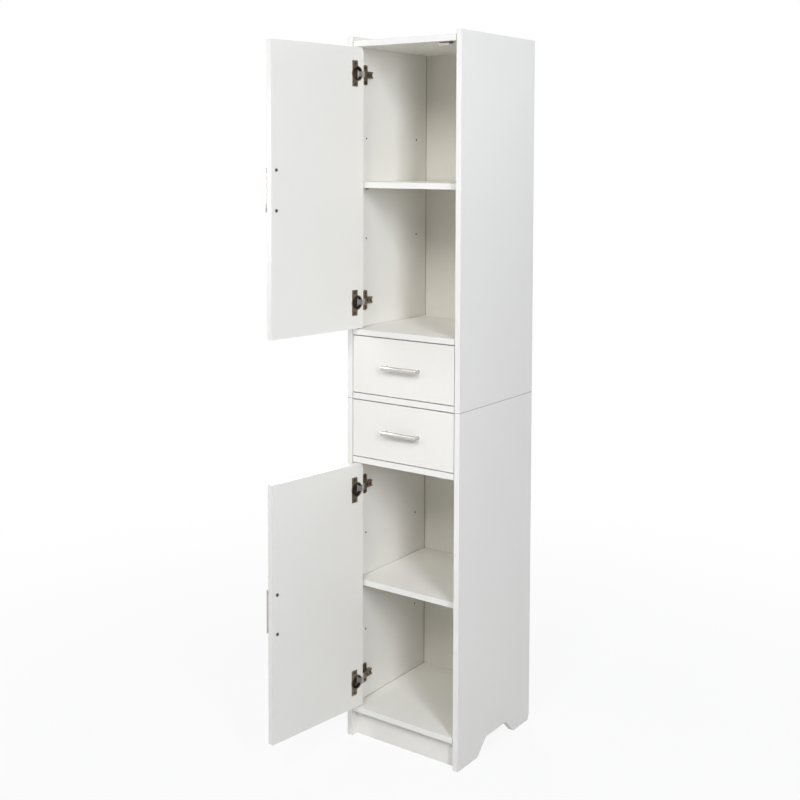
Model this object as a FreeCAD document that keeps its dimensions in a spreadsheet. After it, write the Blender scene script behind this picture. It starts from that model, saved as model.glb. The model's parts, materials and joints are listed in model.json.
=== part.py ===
import FreeCAD, Part
import operator
import os
from types import SimpleNamespace

import Sketcher
from FreeCAD import Rotation, Vector

# Tall bathroom cabinet of melamine-faced board: a lower unit and an upper unit,
# stacked. Each has a shelf compartment behind an inset door and one inset drawer.
# Frame: origin on the floor, mid-width, under the middle of the plinth board;
# +X to the right, +Y to the back, +Z up. Millimetres.
#
# Three sets of coordinates are used below:
#   cabinet - from the left, front, bottom corner of the carcass;
#   door    - from the hinge axis of the closed door, heights from the floor;
#   hinge   - from the hinge axis, at mid-height of one hinge.

# ---------------------------------------------------------------------------
# Driving dimensions
# ---------------------------------------------------------------------------

DIMENSIONS = (
    ("cabinet_width", 340, "outside width of the carcass"),
    ("cabinet_depth", 350, "outside depth of the carcass"),
    ("cabinet_height", 1800, "floor to the tops of the sides"),
    ("board", 15, "thickness of the carcass, door and drawer-front boards"),
    ("lower_unit_height", 883, "floor to the seam between the two units"),
    ("plinth_height", 66, "floor to the underside of the lowest panel"),
    ("plinth_setback", 19, "plinth face behind the front edges"),
    ("top_drop", 11, "top panel below the tops of the sides"),
    ("rail_height", 80, "height of the rear rail behind the lower drawer"),
    ("drawer_bay", 149, "clear height of a drawer opening"),
    ("reveal", 2, "gap beside, above and below a door, and beside a drawer front"),
    ("drawer_reveal", 2.5, "gap above and below a drawer front"),
    ("back_board", 3, "thickness of the hardboard backs and drawer bottoms"),
    ("back_inset", 20, "back board in front of the rear edges"),
    ("groove_depth", 6, "depth of the grooves that hold the backs"),
    ("arch_start", 91, "length of the front foot at the floor"),
    ("arch_span", 178, "floor length of the cut-out between the feet"),
    ("arch_slant", 40, "run of each slanted side of the cut-out"),
    ("arch_height", 38, "height of the cut-out"),
    ("bevel_run", 7, "bevel at the rear foot, for a skirting board"),
    ("bevel_rise", 16, "height of that bevel"),
    ("upper_pin_level", 1417, "height of the middle pin row, upper compartment"),
    ("lower_pin_level", 392, "height of the middle pin row, lower compartment"),
    ("pin_pitch", 128, "height between pin rows"),
    ("pin_front", 57, "front column of pin holes behind the front edge"),
    ("pin_spacing", 224, "front column to rear column"),
    ("pin_radius", 2.5, "radius of the shelf-pin holes"),
    ("pin_depth", 9, "depth of the shelf-pin holes"),
    ("pin_peg", 8, "length of a shelf pin under its shelf"),
    ("pin_collar", 0.8, "thickness of a shelf pin's collar"),
    ("shelf_front", 21, "front edge of a shelf behind the front edges"),
    ("shelf_depth", 303, "depth of a shelf"),
    ("shelf_play", 1, "gap at each end of a shelf"),
    ("dowel_radius", 4, "radius of the carcass dowels"),
    ("dowel_in_side", 10, "length of a dowel inside the side panel"),
    ("dowel_in_panel", 20, "length of a dowel inside the cross panel"),
    ("cam_radius", 7.5, "radius of a cam lock"),
    ("cam_height", 12, "height of a cam lock"),
    ("cam_from_end", 24, "centre of a cam lock from the panel's end"),
    ("cam_bolt_radius", 3, "radius of a cam bolt"),
    ("seam_dowel_in", 15, "length of a seam dowel inside each unit"),
    ("pilot_radius", 1.5, "radius of the shanks of small screws"),
    ("small_shank", 11, "length of the shank of a small screw"),
    ("small_head", 3.4, "radius of the head of a small screw"),
    ("small_head_height", 1.6, "height of that head"),
    ("door_opening", 97.5, "angle at which the doors stand open, degrees"),
    ("pivot_from_side", 12, "hinge axis from the side panel's inner face"),
    ("pivot_behind_front", 6, "hinge axis behind the front edges"),
    ("hinge_from_end", 66, "middle of a hinge from the door's nearer end"),
    ("cup_radius", 17.5, "outside radius of a hinge cup"),
    ("cup_depth", 12.4, "depth of the bore for a hinge cup"),
    ("cup_centre", 12.5, "centre of a hinge cup from the hinge axis"),
    ("cup_wall", 1, "wall of a hinge cup"),
    ("cup_flange", 1.2, "thickness of a hinge cup's flange"),
    ("ear_length", 65, "height of a hinge cup over its ears"),
    ("ear_width", 19, "width of the ears"),
    ("ear_screw_rise", 26, "cup screws above and below the cup's centre"),
    ("ear_screw_offset", 8, "cup screws beyond the cup's centre"),
    ("lug_gap", 15, "clear height between the lugs that hold a hinge pin"),
    ("lug_height", 2.7, "height of a lug"),
    ("hinge_pin_radius", 1.1, "radius of a hinge pin"),
    ("hinge_pin_length", 22, "length of a hinge pin"),
    ("pin_clearance", 0.05, "gap round a hinge pin in the arm's eye"),
    ("neck_radius", 14.5, "inner radius of the arm's neck round the hinge axis"),
    ("strip", 2, "sheet thickness of the arm"),
    ("arm_height", 13, "height of the arm's neck"),
    ("channel_height", 17, "height of the arm's channel over the plate"),
    ("channel_start", 30, "front of the channel from the hinge axis"),
    ("channel_end", 64, "rear of the channel from the hinge axis"),
    ("wing_length", 51, "height of a mounting plate over its wings"),
    ("wing_width", 16, "width of a wing"),
    ("wing_sheet", 2, "thickness of a wing"),
    ("wing_corner", 5, "corner radius of a wing"),
    ("ridge_height", 13.6, "height of a mounting plate's ridge"),
    ("channel_wall", 1.2, "thickness of the channel's walls"),
    ("channel_lift", 2.4, "gap between those walls and the side panel"),
    ("set_screw_length", 7.5, "length of the shank of an adjusting screw"),
    ("handle_spacing", 96, "screw to screw of a handle"),
    ("handle_length", 106, "length of a handle's bar"),
    ("handle_reach", 20, "front of the bar from the board"),
    ("bar_height", 12, "height of the bar's section"),
    ("bar_depth", 6.5, "depth of the bar's section"),
    ("bar_round", 4.5, "radius of the bar's two front edges"),
    ("post_radius", 4.5, "radius of a handle's post"),
    ("foot_height", 1.5, "height of the foot round a handle's post"),
    ("thread_depth", 9, "depth of the threaded hole in a handle's post"),
    ("handle_from_edge", 15, "handle's centre line from the door's free edge"),
    ("screw_radius", 2, "radius of a handle screw's shank"),
    ("box_board", 12, "thickness of a drawer's side and back"),
    ("box_height", 104, "height of a drawer's sides"),
    ("box_length", 290, "length of a drawer's sides"),
    ("box_lift", 14, "drawer sides above the lower edge of the front"),
    ("bottom_lift", 22, "drawer bottom above the lower edge of the front"),
    ("bottom_groove", 4, "depth of the grooves that hold a drawer bottom"),
    ("box_overhang", 3, "drawer sides behind the drawer back"),
    ("box_dowel_radius", 3, "radius of the dowels behind a drawer front"),
    ("box_dowel_in_front", 9, "length of such a dowel inside the front"),
    ("box_dowel_in_side", 20, "length of such a dowel inside the side"),
    ("box_dowel_low", 26, "lower dowel above the lower edge of the drawer side"),
    ("box_dowel_high", 84, "upper dowel above the lower edge of the drawer side"),
    ("runner_width", 8.5, "runner out of the side panel"),
    ("runner_height", 10, "height of a runner"),
    ("runner_length", 280, "length of a runner"),
    ("runner_front", 30, "front end of a runner behind the front edges"),
    ("runner_play", 0.3, "gap round a runner in its groove"),
    ("runner_round", 3.5, "corner radius of a runner's ends"),
    ("runner_recess", 3, "depth of the recess round a runner's screw"),
    ("runner_grip", 10, "length of a runner's screw inside the side panel"),
    ("catch_length", 38, "length of a door catch's base"),
    ("catch_width", 12, "front-to-back width of a door catch"),
    ("catch_base", 3, "thickness of a door catch's base"),
    ("catch_drop", 11, "height of a door catch"),
    ("catch_block", 27, "length of a door catch's block"),
    ("catch_nose", 2.4, "reach of a door catch's nose"),
    ("catch_nose_radius", 3, "radius of that nose"),
    ("catch_from_left", 262, "catch's left end from the cabinet's left face"),
    ("catch_front", 18, "front of a door catch behind the front edges"),
)

doc = FreeCAD.newDocument("tall_bathroom_cabinet")
sheet = doc.addObject("Spreadsheet::Sheet", "Dimensions")

OPERATIONS = {"+": operator.add, "-": operator.sub, "*": operator.mul, "/": operator.truediv}


class Size:
    """A size in millimetres, together with the sheet formula that gives it."""

    def __init__(self, number, formula):
        self.number = number
        self.formula = formula

    def __add__(self, other):
        return combined(self, "+", other)

    def __radd__(self, other):
        return combined(other, "+", self)

    def __sub__(self, other):
        return combined(self, "-", other)

    def __rsub__(self, other):
        return combined(other, "-", self)

    def __mul__(self, other):
        return combined(self, "*", other)

    def __rmul__(self, other):
        return combined(other, "*", self)

    def __truediv__(self, other):
        return combined(self, "/", other)

    def __neg__(self):
        return combined(0, "-", self)


def as_size(value):
    """A plain number as a Size."""
    return value if isinstance(value, Size) else Size(float(value), str(float(value)))


def combined(left, sign, right):
    left = as_size(left)
    right = as_size(right)
    number = OPERATIONS[sign](left.number, right.number)
    return Size(number, f"({left.formula} {sign} {right.formula})")


def fill_sheet():
    """Write the driving dimensions to the sheet and return them by name."""
    sizes = {}
    for row, (alias, value, meaning) in enumerate(DIMENSIONS, start=1):
        sheet.set(f"A{row}", meaning)
        sheet.set(f"B{row}", str(value))
        sheet.setAlias(f"B{row}", alias)
        sizes[alias] = Size(float(value), f"Dimensions.{alias}")
    doc.recompute()
    return SimpleNamespace(**sizes)


d = fill_sheet()

# Levels and places that follow from the driving dimensions, cabinet coordinates.
inner_width = d.cabinet_width - 2 * d.board
right_side_x = d.cabinet_width - d.board
back_face = d.cabinet_depth - d.back_inset - d.back_board
seam = d.lower_unit_height
lower_floor_top = d.plinth_height + d.board
lower_divider_level = seam - d.drawer_bay - d.board
upper_floor_level = seam + d.board + d.drawer_bay
upper_floor_top = upper_floor_level + d.board
top_level = d.cabinet_height - d.top_drop - d.board
origin_depth = d.plinth_setback + d.board / 2
rail_level = seam - d.rail_height
rear_pin = d.pin_front + d.pin_spacing

# The doors and drawer fronts.
pivot_x = d.board + d.pivot_from_side
door_width = inner_width - 2 * d.reveal
door_edge = d.reveal - d.pivot_from_side
door_free_edge = door_edge + door_width
door_back = d.board - d.pivot_behind_front
door_front = -d.pivot_behind_front
front_height = d.drawer_bay - 2 * d.drawer_reveal

UNITS = {
    "upper": SimpleNamespace(
        door_bottom=upper_floor_top + d.reveal,
        door_top=top_level - d.reveal,
        pin_level=d.upper_pin_level,
        drawer_level=seam + d.board + d.drawer_reveal,
        ceiling=top_level,
    ),
    "lower": SimpleNamespace(
        door_bottom=lower_floor_top + d.reveal,
        door_top=lower_divider_level - d.reveal,
        pin_level=d.lower_pin_level,
        drawer_level=lower_divider_level + d.board + d.drawer_reveal,
        ceiling=lower_divider_level,
    ),
}
for unit in UNITS.values():
    unit.hinge_levels = (unit.door_top - d.hinge_from_end, unit.door_bottom + d.hinge_from_end)
    unit.runner_level = unit.drawer_level + d.box_lift + d.box_height / 2

# ---------------------------------------------------------------------------
# Building blocks
# ---------------------------------------------------------------------------

parts = []


def bind(thing, path, size):
    thing.setExpression(path, as_size(size).formula)


def named(thing, label):
    """Mark an object as one sub-part of the cabinet."""
    thing.Label = label
    parts.append(thing)
    return thing


def place(thing, across, back, up):
    """Put a sub-part at cabinet coordinates."""
    bind(thing, "Placement.Base.x", across - d.cabinet_width / 2)
    bind(thing, "Placement.Base.y", back - origin_depth)
    bind(thing, "Placement.Base.z", up)
    return thing


def hang(thing):
    """Put a sub-part drawn in door coordinates on its open door."""
    thing.Placement.Rotation = Rotation(Vector(0, 0, 1), -d.door_opening.number)
    bind(thing, "Placement.Rotation.Angle", -d.door_opening)
    return place(thing, pivot_x, d.pivot_behind_front, as_size(0))


def new_body(name):
    return doc.addObject("PartDesign::Body", name)


def origin_feature(body, role):
    return next(item for item in body.Origin.OriginFeatures if item.Role == role)


def new_sketch(body, plane, lift=0):
    """A sketch on an origin plane, moved along the plane's normal by lift."""
    sketch = body.newObject("Sketcher::SketchObject", "Sketch")
    sketch.AttachmentSupport = (origin_feature(body, plane), [""])
    sketch.MapMode = "FlatFace"
    bind(sketch, "AttachmentOffset.Base.z", lift)
    return sketch


def pin_point(sketch, geometry, point, place_xy):
    """Hold one point of the sketch at its place by bound distances."""
    for kind, size in zip(("DistanceX", "DistanceY"), place_xy):
        number = sketch.addConstraint(
            Sketcher.Constraint(kind, -1, 1, geometry, point, as_size(size).number)
        )
        bind(sketch, f"Constraints[{number}]", size)


def draw_outline(sketch, corners):
    """A closed outline of straight edges through the corners."""
    points = [Vector(as_size(a).number, as_size(b).number, 0) for a, b in corners]
    first = len(sketch.Geometry)
    count = len(points)
    for i, point in enumerate(points):
        sketch.addGeometry(Part.LineSegment(point, points[(i + 1) % count]))
    for i in range(count):
        following = first + (i + 1) % count
        sketch.addConstraint(Sketcher.Constraint("Coincident", first + i, 2, following, 1))
        pin_point(sketch, first + i, 1, corners[i])
    return sketch


def rectangle(low_a, low_b, high_a, high_b):
    return [(low_a, low_b), (high_a, low_b), (high_a, high_b), (low_a, high_b)]


def draw_circles(sketch, radius, centres):
    for centre in centres:
        place_xy = Vector(as_size(centre[0]).number, as_size(centre[1]).number, 0)
        circle = Part.Circle(place_xy, Vector(0, 0, 1), as_size(radius).number)
        number = sketch.addGeometry(circle)
        pin_point(sketch, number, 3, centre)
        size = sketch.addConstraint(
            Sketcher.Constraint("Radius", number, as_size(radius).number)
        )
        bind(sketch, f"Constraints[{size}]", radius)
    return sketch


def pad(body, sketch, length, both_ways=False):
    """Add the sketch's outline as a solid along its normal."""
    feature = body.newObject("PartDesign::Pad", "Pad")
    feature.Profile = sketch
    feature.Midplane = both_ways
    bind(feature, "Length", length)
    return feature


def cut(body, sketch, depth, along_normal=False):
    """Take the sketch's outline away, against its normal unless along_normal."""
    feature = body.newObject("PartDesign::Pocket", "Pocket")
    feature.Profile = sketch
    feature.Reversed = along_normal
    bind(feature, "Length", depth)
    return feature


def round_edges(body, radius, wanted):
    """Fillet the edges of the body for which wanted(edge) is true."""
    doc.recompute()
    base = body.Tip
    names = [f"Edge{i}" for i, edge in enumerate(base.Shape.Edges, start=1) if wanted(edge)]
    feature = body.newObject("PartDesign::Fillet", "Fillet")
    feature.Base = (base, names)
    bind(feature, "Radius", radius)
    return feature


def rod(radius, length, start, direction):
    """A round bar from start along direction."""
    bar = doc.addObject("Part::Cylinder", "Rod")
    bind(bar, "Radius", radius)
    bind(bar, "Height", length)
    bar.Placement.Rotation = Rotation(Vector(0, 0, 1), direction)
    for axis, size in zip("xyz", start):
        bind(bar, f"Placement.Base.{axis}", size)
    return bar


def fused(members):
    joined = doc.addObject("Part::MultiFuse", "Joined")
    joined.Shapes = members
    return joined


def copy_of(master, at, turn=None):
    """A linked copy of a master piece."""
    link = doc.addObject("App::Link", "Copy")
    link.LinkedObject = master
    link.LinkTransform = False
    if turn is not None:
        link.Placement.Rotation = turn
    for axis, size in zip("xyz", at):
        bind(link, f"Placement.Base.{axis}", size)
    return link


def group(label, members):
    """Several like solids as one sub-part."""
    bundle = doc.addObject("Part::Compound", "Group")
    bundle.Links = members
    return named(bundle, label)


HEAD_TAPER = 0.7


def screw_master(head_radius, head_height, shank_radius, shank_length):
    """A screw that points down -Z, with its head above z = 0."""
    head = doc.addObject("Part::Cone", "Head")
    bind(head, "Radius1", head_radius)
    bind(head, "Radius2", head_radius * HEAD_TAPER)
    bind(head, "Height", head_height)
    shank = rod(shank_radius, shank_length, (0, 0, -as_size(shank_length)), Vector(0, 0, 1))
    return fused([head, shank])


TO_LEFT = Rotation(Vector(0, 0, -1), Vector(-1, 0, 0))
TO_RIGHT = Rotation(Vector(0, 0, -1), Vector(1, 0, 0))
TO_FRONT = Rotation(Vector(0, 0, -1), Vector(0, -1, 0))
TO_TOP = Rotation(Vector(0, 0, -1), Vector(0, 0, 1))

# ---------------------------------------------------------------------------
# Fittings of the carcass: where dowels and cam locks sit
# ---------------------------------------------------------------------------

DOWEL_PLACES = (95, 235)
CAM_PLACES = (60, 270)
PLATE_SCREW_RISE = 19
PLATE_SCREW_BACK = 45
CROSS_PANEL_LEVELS = {
    "top_panel": top_level,
    "upper_floor_panel": upper_floor_level,
    "upper_bottom_panel": seam,
    "lower_divider_panel": lower_divider_level,
    "lower_floor_panel": d.plinth_height,
}
CATCH_PANELS = ("top_panel", "lower_divider_panel")
CATCH_SCREW = (33, 6)
LOWER_PANELS = ("lower_divider_panel", "lower_floor_panel")
PLINTH_DOWELS = (18, 48)
RAIL_DOWELS = (20, 60)
SEAM_DOWEL_PLACES = (35, 300)
RUNNER_SCREWS = (70, 270)


def dowel_places(unit_name):
    """Back and up of every dowel between a side and the cross panels of its unit."""
    places = []
    for name, level in CROSS_PANEL_LEVELS.items():
        if (name in LOWER_PANELS) == (unit_name == "lower"):
            places += [(as_size(back), level + d.board / 2) for back in DOWEL_PLACES]
    if unit_name == "lower":
        places += [(origin_depth, as_size(up)) for up in PLINTH_DOWELS]
        places += [(back_face - d.board / 2, rail_level + up) for up in RAIL_DOWELS]
    return places


def cam_places(unit_name):
    places = []
    for name, level in CROSS_PANEL_LEVELS.items():
        if (name in LOWER_PANELS) == (unit_name == "lower"):
            places += [(as_size(back), level + d.board / 2) for back in CAM_PLACES]
    return places


# ---------------------------------------------------------------------------
# Sides
# ---------------------------------------------------------------------------

def side_outline(unit_name, height):
    """Side view of a side panel; the lower ones stand on two feet."""
    if unit_name == "upper":
        return rectangle(0, 0, d.cabinet_depth, height)
    arch_end = d.arch_start + d.arch_span
    return [
        (0, 0),
        (d.arch_start, 0),
        (d.arch_start + d.arch_slant, d.arch_height),
        (arch_end - d.arch_slant, d.arch_height),
        (arch_end, 0),
        (d.cabinet_depth - d.bevel_run, 0),
        (d.cabinet_depth, d.bevel_rise),
        (d.cabinet_depth, height),
        (0, height),
    ]


def side_panel(unit_name, hand):
    """One side: outline, back groove, pin holes, fitting bores and pilot holes."""
    unit = UNITS[unit_name]
    base = as_size(0) if unit_name == "lower" else seam
    height = seam if unit_name == "lower" else d.cabinet_height - seam
    left = hand == "left"
    inner = d.board if left else as_size(0)
    body = named(new_body("Side"), f"{unit_name}_{hand}_side")
    pad(body, draw_outline(new_sketch(body, "YZ_Plane"), side_outline(unit_name, height)), d.board)

    groove_top = height if unit_name == "lower" else top_level + d.groove_depth - base
    groove = rectangle(back_face, 0 if unit_name == "upper" else d.plinth_height,
                       back_face + d.back_board, groove_top)
    cut(body, draw_outline(new_sketch(body, "YZ_Plane", inner), groove), d.groove_depth, not left)

    pins = [(column, unit.pin_level - base + row * d.pin_pitch)
            for column in (d.pin_front, rear_pin) for row in (-1, 0, 1)]
    pin_sketch = draw_circles(new_sketch(body, "YZ_Plane", inner), d.pin_radius, pins)
    cut(body, pin_sketch, d.pin_depth, not left)

    bores = new_sketch(body, "YZ_Plane", inner)
    draw_circles(bores, d.dowel_radius, [(b, up - base) for b, up in dowel_places(unit_name)])
    draw_circles(bores, d.cam_bolt_radius, [(b, up - base) for b, up in cam_places(unit_name)])
    cut(body, bores, d.dowel_in_side, not left)

    pilots = new_sketch(body, "YZ_Plane", inner)
    runner_up = unit.runner_level - base
    draw_circles(pilots, d.pilot_radius, [(as_size(back), runner_up) for back in RUNNER_SCREWS])
    if left:
        wing_y = d.pivot_behind_front + PLATE_SCREW_BACK
        rises = (-PLATE_SCREW_RISE, PLATE_SCREW_RISE)
        draw_circles(pilots, d.pilot_radius, [(wing_y, level - base + rise)
                                              for level in unit.hinge_levels for rise in rises])
    cut(body, pilots, d.small_shank, not left)

    joint = new_sketch(body, "XY_Plane", height if unit_name == "lower" else 0)
    draw_circles(joint, d.dowel_radius, [(d.board / 2, as_size(back)) for back in SEAM_DOWEL_PLACES])
    cut(body, joint, d.seam_dowel_in, unit_name == "upper")
    return place(body, as_size(0) if left else right_side_x, as_size(0), base)


for unit_name in UNITS:
    for hand in ("left", "right"):
        side_panel(unit_name, hand)

# ---------------------------------------------------------------------------
# Cross panels, plinth, rail and backs
# ---------------------------------------------------------------------------

def end_bores(body, radius, depth, places):
    """Holes in both ends of a board that lies between the sides."""
    cut(body, draw_circles(new_sketch(body, "YZ_Plane"), radius, places), depth, True)
    cut(body, draw_circles(new_sketch(body, "YZ_Plane", inner_width), radius, places), depth)


def cross_panel(label, level, depth):
    """A level board between the sides, with its dowel bores and cam pockets."""
    body = named(new_body("Panel"), label)
    pad(body, draw_outline(new_sketch(body, "XY_Plane"), rectangle(0, 0, inner_width, depth)), d.board)
    middle = d.board / 2
    end_bores(body, d.dowel_radius, d.dowel_in_panel, [(as_size(y), middle) for y in DOWEL_PLACES])
    end_bores(body, d.cam_bolt_radius, d.cam_from_end, [(as_size(y), middle) for y in CAM_PLACES])
    pockets = [(x, as_size(y)) for x in (d.cam_from_end, inner_width - d.cam_from_end)
               for y in CAM_PLACES]
    cut(body, draw_circles(new_sketch(body, "XY_Plane"), d.cam_radius, pockets), d.cam_height, True)
    if label in CATCH_PANELS:
        pilot = (d.catch_from_left - d.board + CATCH_SCREW[0], d.catch_front + CATCH_SCREW[1])
        pilot_sketch = draw_circles(new_sketch(body, "XY_Plane"), d.pilot_radius, [pilot])
        cut(body, pilot_sketch, d.small_shank - d.catch_base, True)
    if label == "top_panel":
        groove = rectangle(0, back_face, inner_width, back_face + d.back_board)
        cut(body, draw_outline(new_sketch(body, "XY_Plane"), groove), d.groove_depth, True)
    return place(body, d.board, as_size(0), level)


def upright_board(label, back, level, height, dowels):
    """A board on edge between the sides: the plinth and the rear rail."""
    body = named(new_body("Board"), label)
    pad(body, draw_outline(new_sketch(body, "XY_Plane"), rectangle(0, 0, inner_width, d.board)), height)
    end_bores(body, d.dowel_radius, d.dowel_in_panel, [(d.board / 2, as_size(up)) for up in dowels])
    return place(body, d.board, back, level)


def plain_board(label, width, depth, height, at):
    board_box = doc.addObject("Part::Box", "Board")
    bind(board_box, "Length", width)
    bind(board_box, "Width", depth)
    bind(board_box, "Height", height)
    named(board_box, label)
    return place(board_box, *at)


for panel_name, panel_level in CROSS_PANEL_LEVELS.items():
    panel_depth = d.cabinet_depth if panel_name == "top_panel" else back_face
    cross_panel(panel_name, panel_level, panel_depth)

upright_board("plinth_board", d.plinth_setback, as_size(0), d.plinth_height, PLINTH_DOWELS)
upright_board("rear_rail", back_face - d.board, rail_level, d.rail_height, RAIL_DOWELS)

back_width = inner_width + 2 * d.groove_depth
back_x = d.board - d.groove_depth
plain_board("upper_back_board", back_width, d.back_board, top_level + d.groove_depth - seam,
            (back_x, back_face, seam))
plain_board("lower_back_board", back_width, d.back_board, seam - d.plinth_height,
            (back_x, back_face, d.plinth_height))

for unit_name, unit in UNITS.items():
    plain_board(f"{unit_name}_shelf", inner_width - 2 * d.shelf_play, d.shelf_depth, d.board,
                (d.board + d.shelf_play, d.shelf_front, unit.pin_level + d.pin_radius))

# ---------------------------------------------------------------------------
# Shelf pins, dowels and cam fittings
# ---------------------------------------------------------------------------

PIN_COLLAR_RATIO = 1.5


def shelf_pin_master():
    """A turned pin: shank in the hole, collar on the panel, peg under the shelf."""
    along = Vector(1, 0, 0)
    shank = rod(d.pin_radius, d.pin_depth, (-d.pin_depth, 0, 0), along)
    collar = rod(d.pin_radius * PIN_COLLAR_RATIO, d.pin_collar, (0, 0, 0), along)
    peg = rod(d.pin_radius, d.pin_peg, (0, 0, 0), along)
    return fused([shank, collar, peg])


FACE_RIGHT = Rotation()
FACE_LEFT = Rotation(Vector(0, 0, 1), 180)
INNER_FACES = ((d.board, FACE_RIGHT, 1), (right_side_x, FACE_LEFT, -1))

pin_master = shelf_pin_master()
for unit_name, unit in UNITS.items():
    pins = [copy_of(pin_master, (face, column, as_size(0)), turn)
            for face, turn, _ in INNER_FACES for column in (d.pin_front, rear_pin)]
    place(group(f"{unit_name}_shelf_pins", pins), as_size(0), as_size(0), unit.pin_level)

dowel_length = d.dowel_in_side + d.dowel_in_panel
dowels = []
cams = []
for face, _, inward in INNER_FACES:
    along = Vector(inward, 0, 0)
    for unit_name in UNITS:
        for back, up in dowel_places(unit_name):
            start = (face - inward * d.dowel_in_side, back, up)
            dowels.append(rod(d.dowel_radius, dowel_length, start, along))
        for back, up in cam_places(unit_name):
            start = (face - inward * d.dowel_in_side, back, up)
            bolt = rod(d.cam_bolt_radius, d.dowel_in_side + d.cam_from_end, start, along)
            lock = rod(d.cam_radius, d.cam_height,
                       (face + inward * d.cam_from_end, back, up - d.board / 2), Vector(0, 0, 1))
            cams.append(fused([bolt, lock]))
place(group("carcass_dowels", dowels), as_size(0), as_size(0), as_size(0))
place(group("cam_fittings", cams), as_size(0), as_size(0), as_size(0))

seam_dowels = [rod(d.dowel_radius, 2 * d.seam_dowel_in, (x, as_size(back), seam - d.seam_dowel_in),
                   Vector(0, 0, 1))
               for x in (d.board / 2, d.cabinet_width - d.board / 2) for back in SEAM_DOWEL_PLACES]
place(group("unit_dowels", seam_dowels), as_size(0), as_size(0), as_size(0))

# ---------------------------------------------------------------------------
# Concealed hinges, drawn in hinge coordinates
# ---------------------------------------------------------------------------

side_face = -d.pivot_from_side
strip_top = -d.strip / 2
strip_under = strip_top - d.strip
ADJUSTING_SCREWS = (42, 56)
NECK_SWEEP = 99
EYE_WALL = 1


def arm_master():
    """Cranked arm: eye on the pin, neck round the door's edge, channel on the plate."""
    body = new_body("Arm")
    pad(body, draw_circles(new_sketch(body, "XY_Plane"), d.hinge_pin_radius + EYE_WALL, [(0, 0)]),
        d.arm_height, True)
    half = d.strip / 2
    straight = rectangle(0, -half, d.neck_radius + d.strip, half)
    pad(body, draw_outline(new_sketch(body, "XY_Plane"), straight), d.arm_height, True)

    section = new_sketch(body, "XZ_Plane")
    rise = d.arm_height / 2
    draw_outline(section, rectangle(d.neck_radius, -rise, d.neck_radius + d.strip, rise))
    neck = body.newObject("PartDesign::Revolution", "Neck")
    neck.Profile = section
    neck.ReferenceAxis = (origin_feature(body, "Z_Axis"), [""])
    neck.Angle = NECK_SWEEP

    tongue = rectangle(strip_under, d.neck_radius, strip_top, d.channel_start + d.strip)
    pad(body, draw_outline(new_sketch(body, "XY_Plane"), tongue), d.arm_height, True)
    roof = rectangle(strip_under, d.channel_start, strip_top, d.channel_end)
    pad(body, draw_outline(new_sketch(body, "XY_Plane"), roof), d.channel_height, True)
    wall = rectangle(side_face + d.channel_lift, d.channel_start, strip_top, d.channel_end)
    for low in (-d.channel_height / 2, d.channel_height / 2 - d.channel_wall):
        pad(body, draw_outline(new_sketch(body, "XY_Plane", low), wall), d.channel_wall)

    holes = [(as_size(back), 0) for back in ADJUSTING_SCREWS]
    cut(body, draw_circles(new_sketch(body, "YZ_Plane", strip_top), d.screw_radius, holes), d.strip)
    eye_radius = d.hinge_pin_radius + d.pin_clearance
    bore = draw_circles(new_sketch(body, "XY_Plane", -d.arm_height), eye_radius, [(0, 0)])
    cut(body, bore, d.arm_height * 2, True)
    return body


RIDGE_INSET = 1


def plate_master():
    """Mounting plate: two wings screwed to the side and a ridge under the arm."""
    body = new_body("Plate")
    wing_mid = PLATE_SCREW_BACK
    reach = d.wing_length / 2
    wings = rectangle(wing_mid - d.wing_width / 2, -reach, wing_mid + d.wing_width / 2, reach)
    pad(body, draw_outline(new_sketch(body, "YZ_Plane", side_face), wings), d.wing_sheet)
    round_edges(body, d.wing_corner, lambda edge: edge.BoundBox.XLength > 1)
    ridge = rectangle(d.channel_start + RIDGE_INSET, -d.ridge_height / 2,
                      d.channel_end - RIDGE_INSET, d.ridge_height / 2)
    pad(body, draw_outline(new_sketch(body, "YZ_Plane", side_face), ridge), strip_under - side_face)
    screws = [(as_size(wing_mid), rise) for rise in (-PLATE_SCREW_RISE, PLATE_SCREW_RISE)]
    holes = draw_circles(new_sketch(body, "YZ_Plane", side_face), d.pilot_radius, screws)
    cut(body, holes, d.wing_sheet, True)
    threads = [(as_size(back), 0) for back in ADJUSTING_SCREWS]
    cut(body, draw_circles(new_sketch(body, "YZ_Plane", strip_under), d.screw_radius, threads),
        d.set_screw_length - d.strip)
    return body


CUP_RIM = 1.5
CUP_FLOOR = 0.8
LUG_BEFORE_PIN = 1.4
LUG_BEYOND_PIN = 3
LUG_BACK = 2.2


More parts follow.
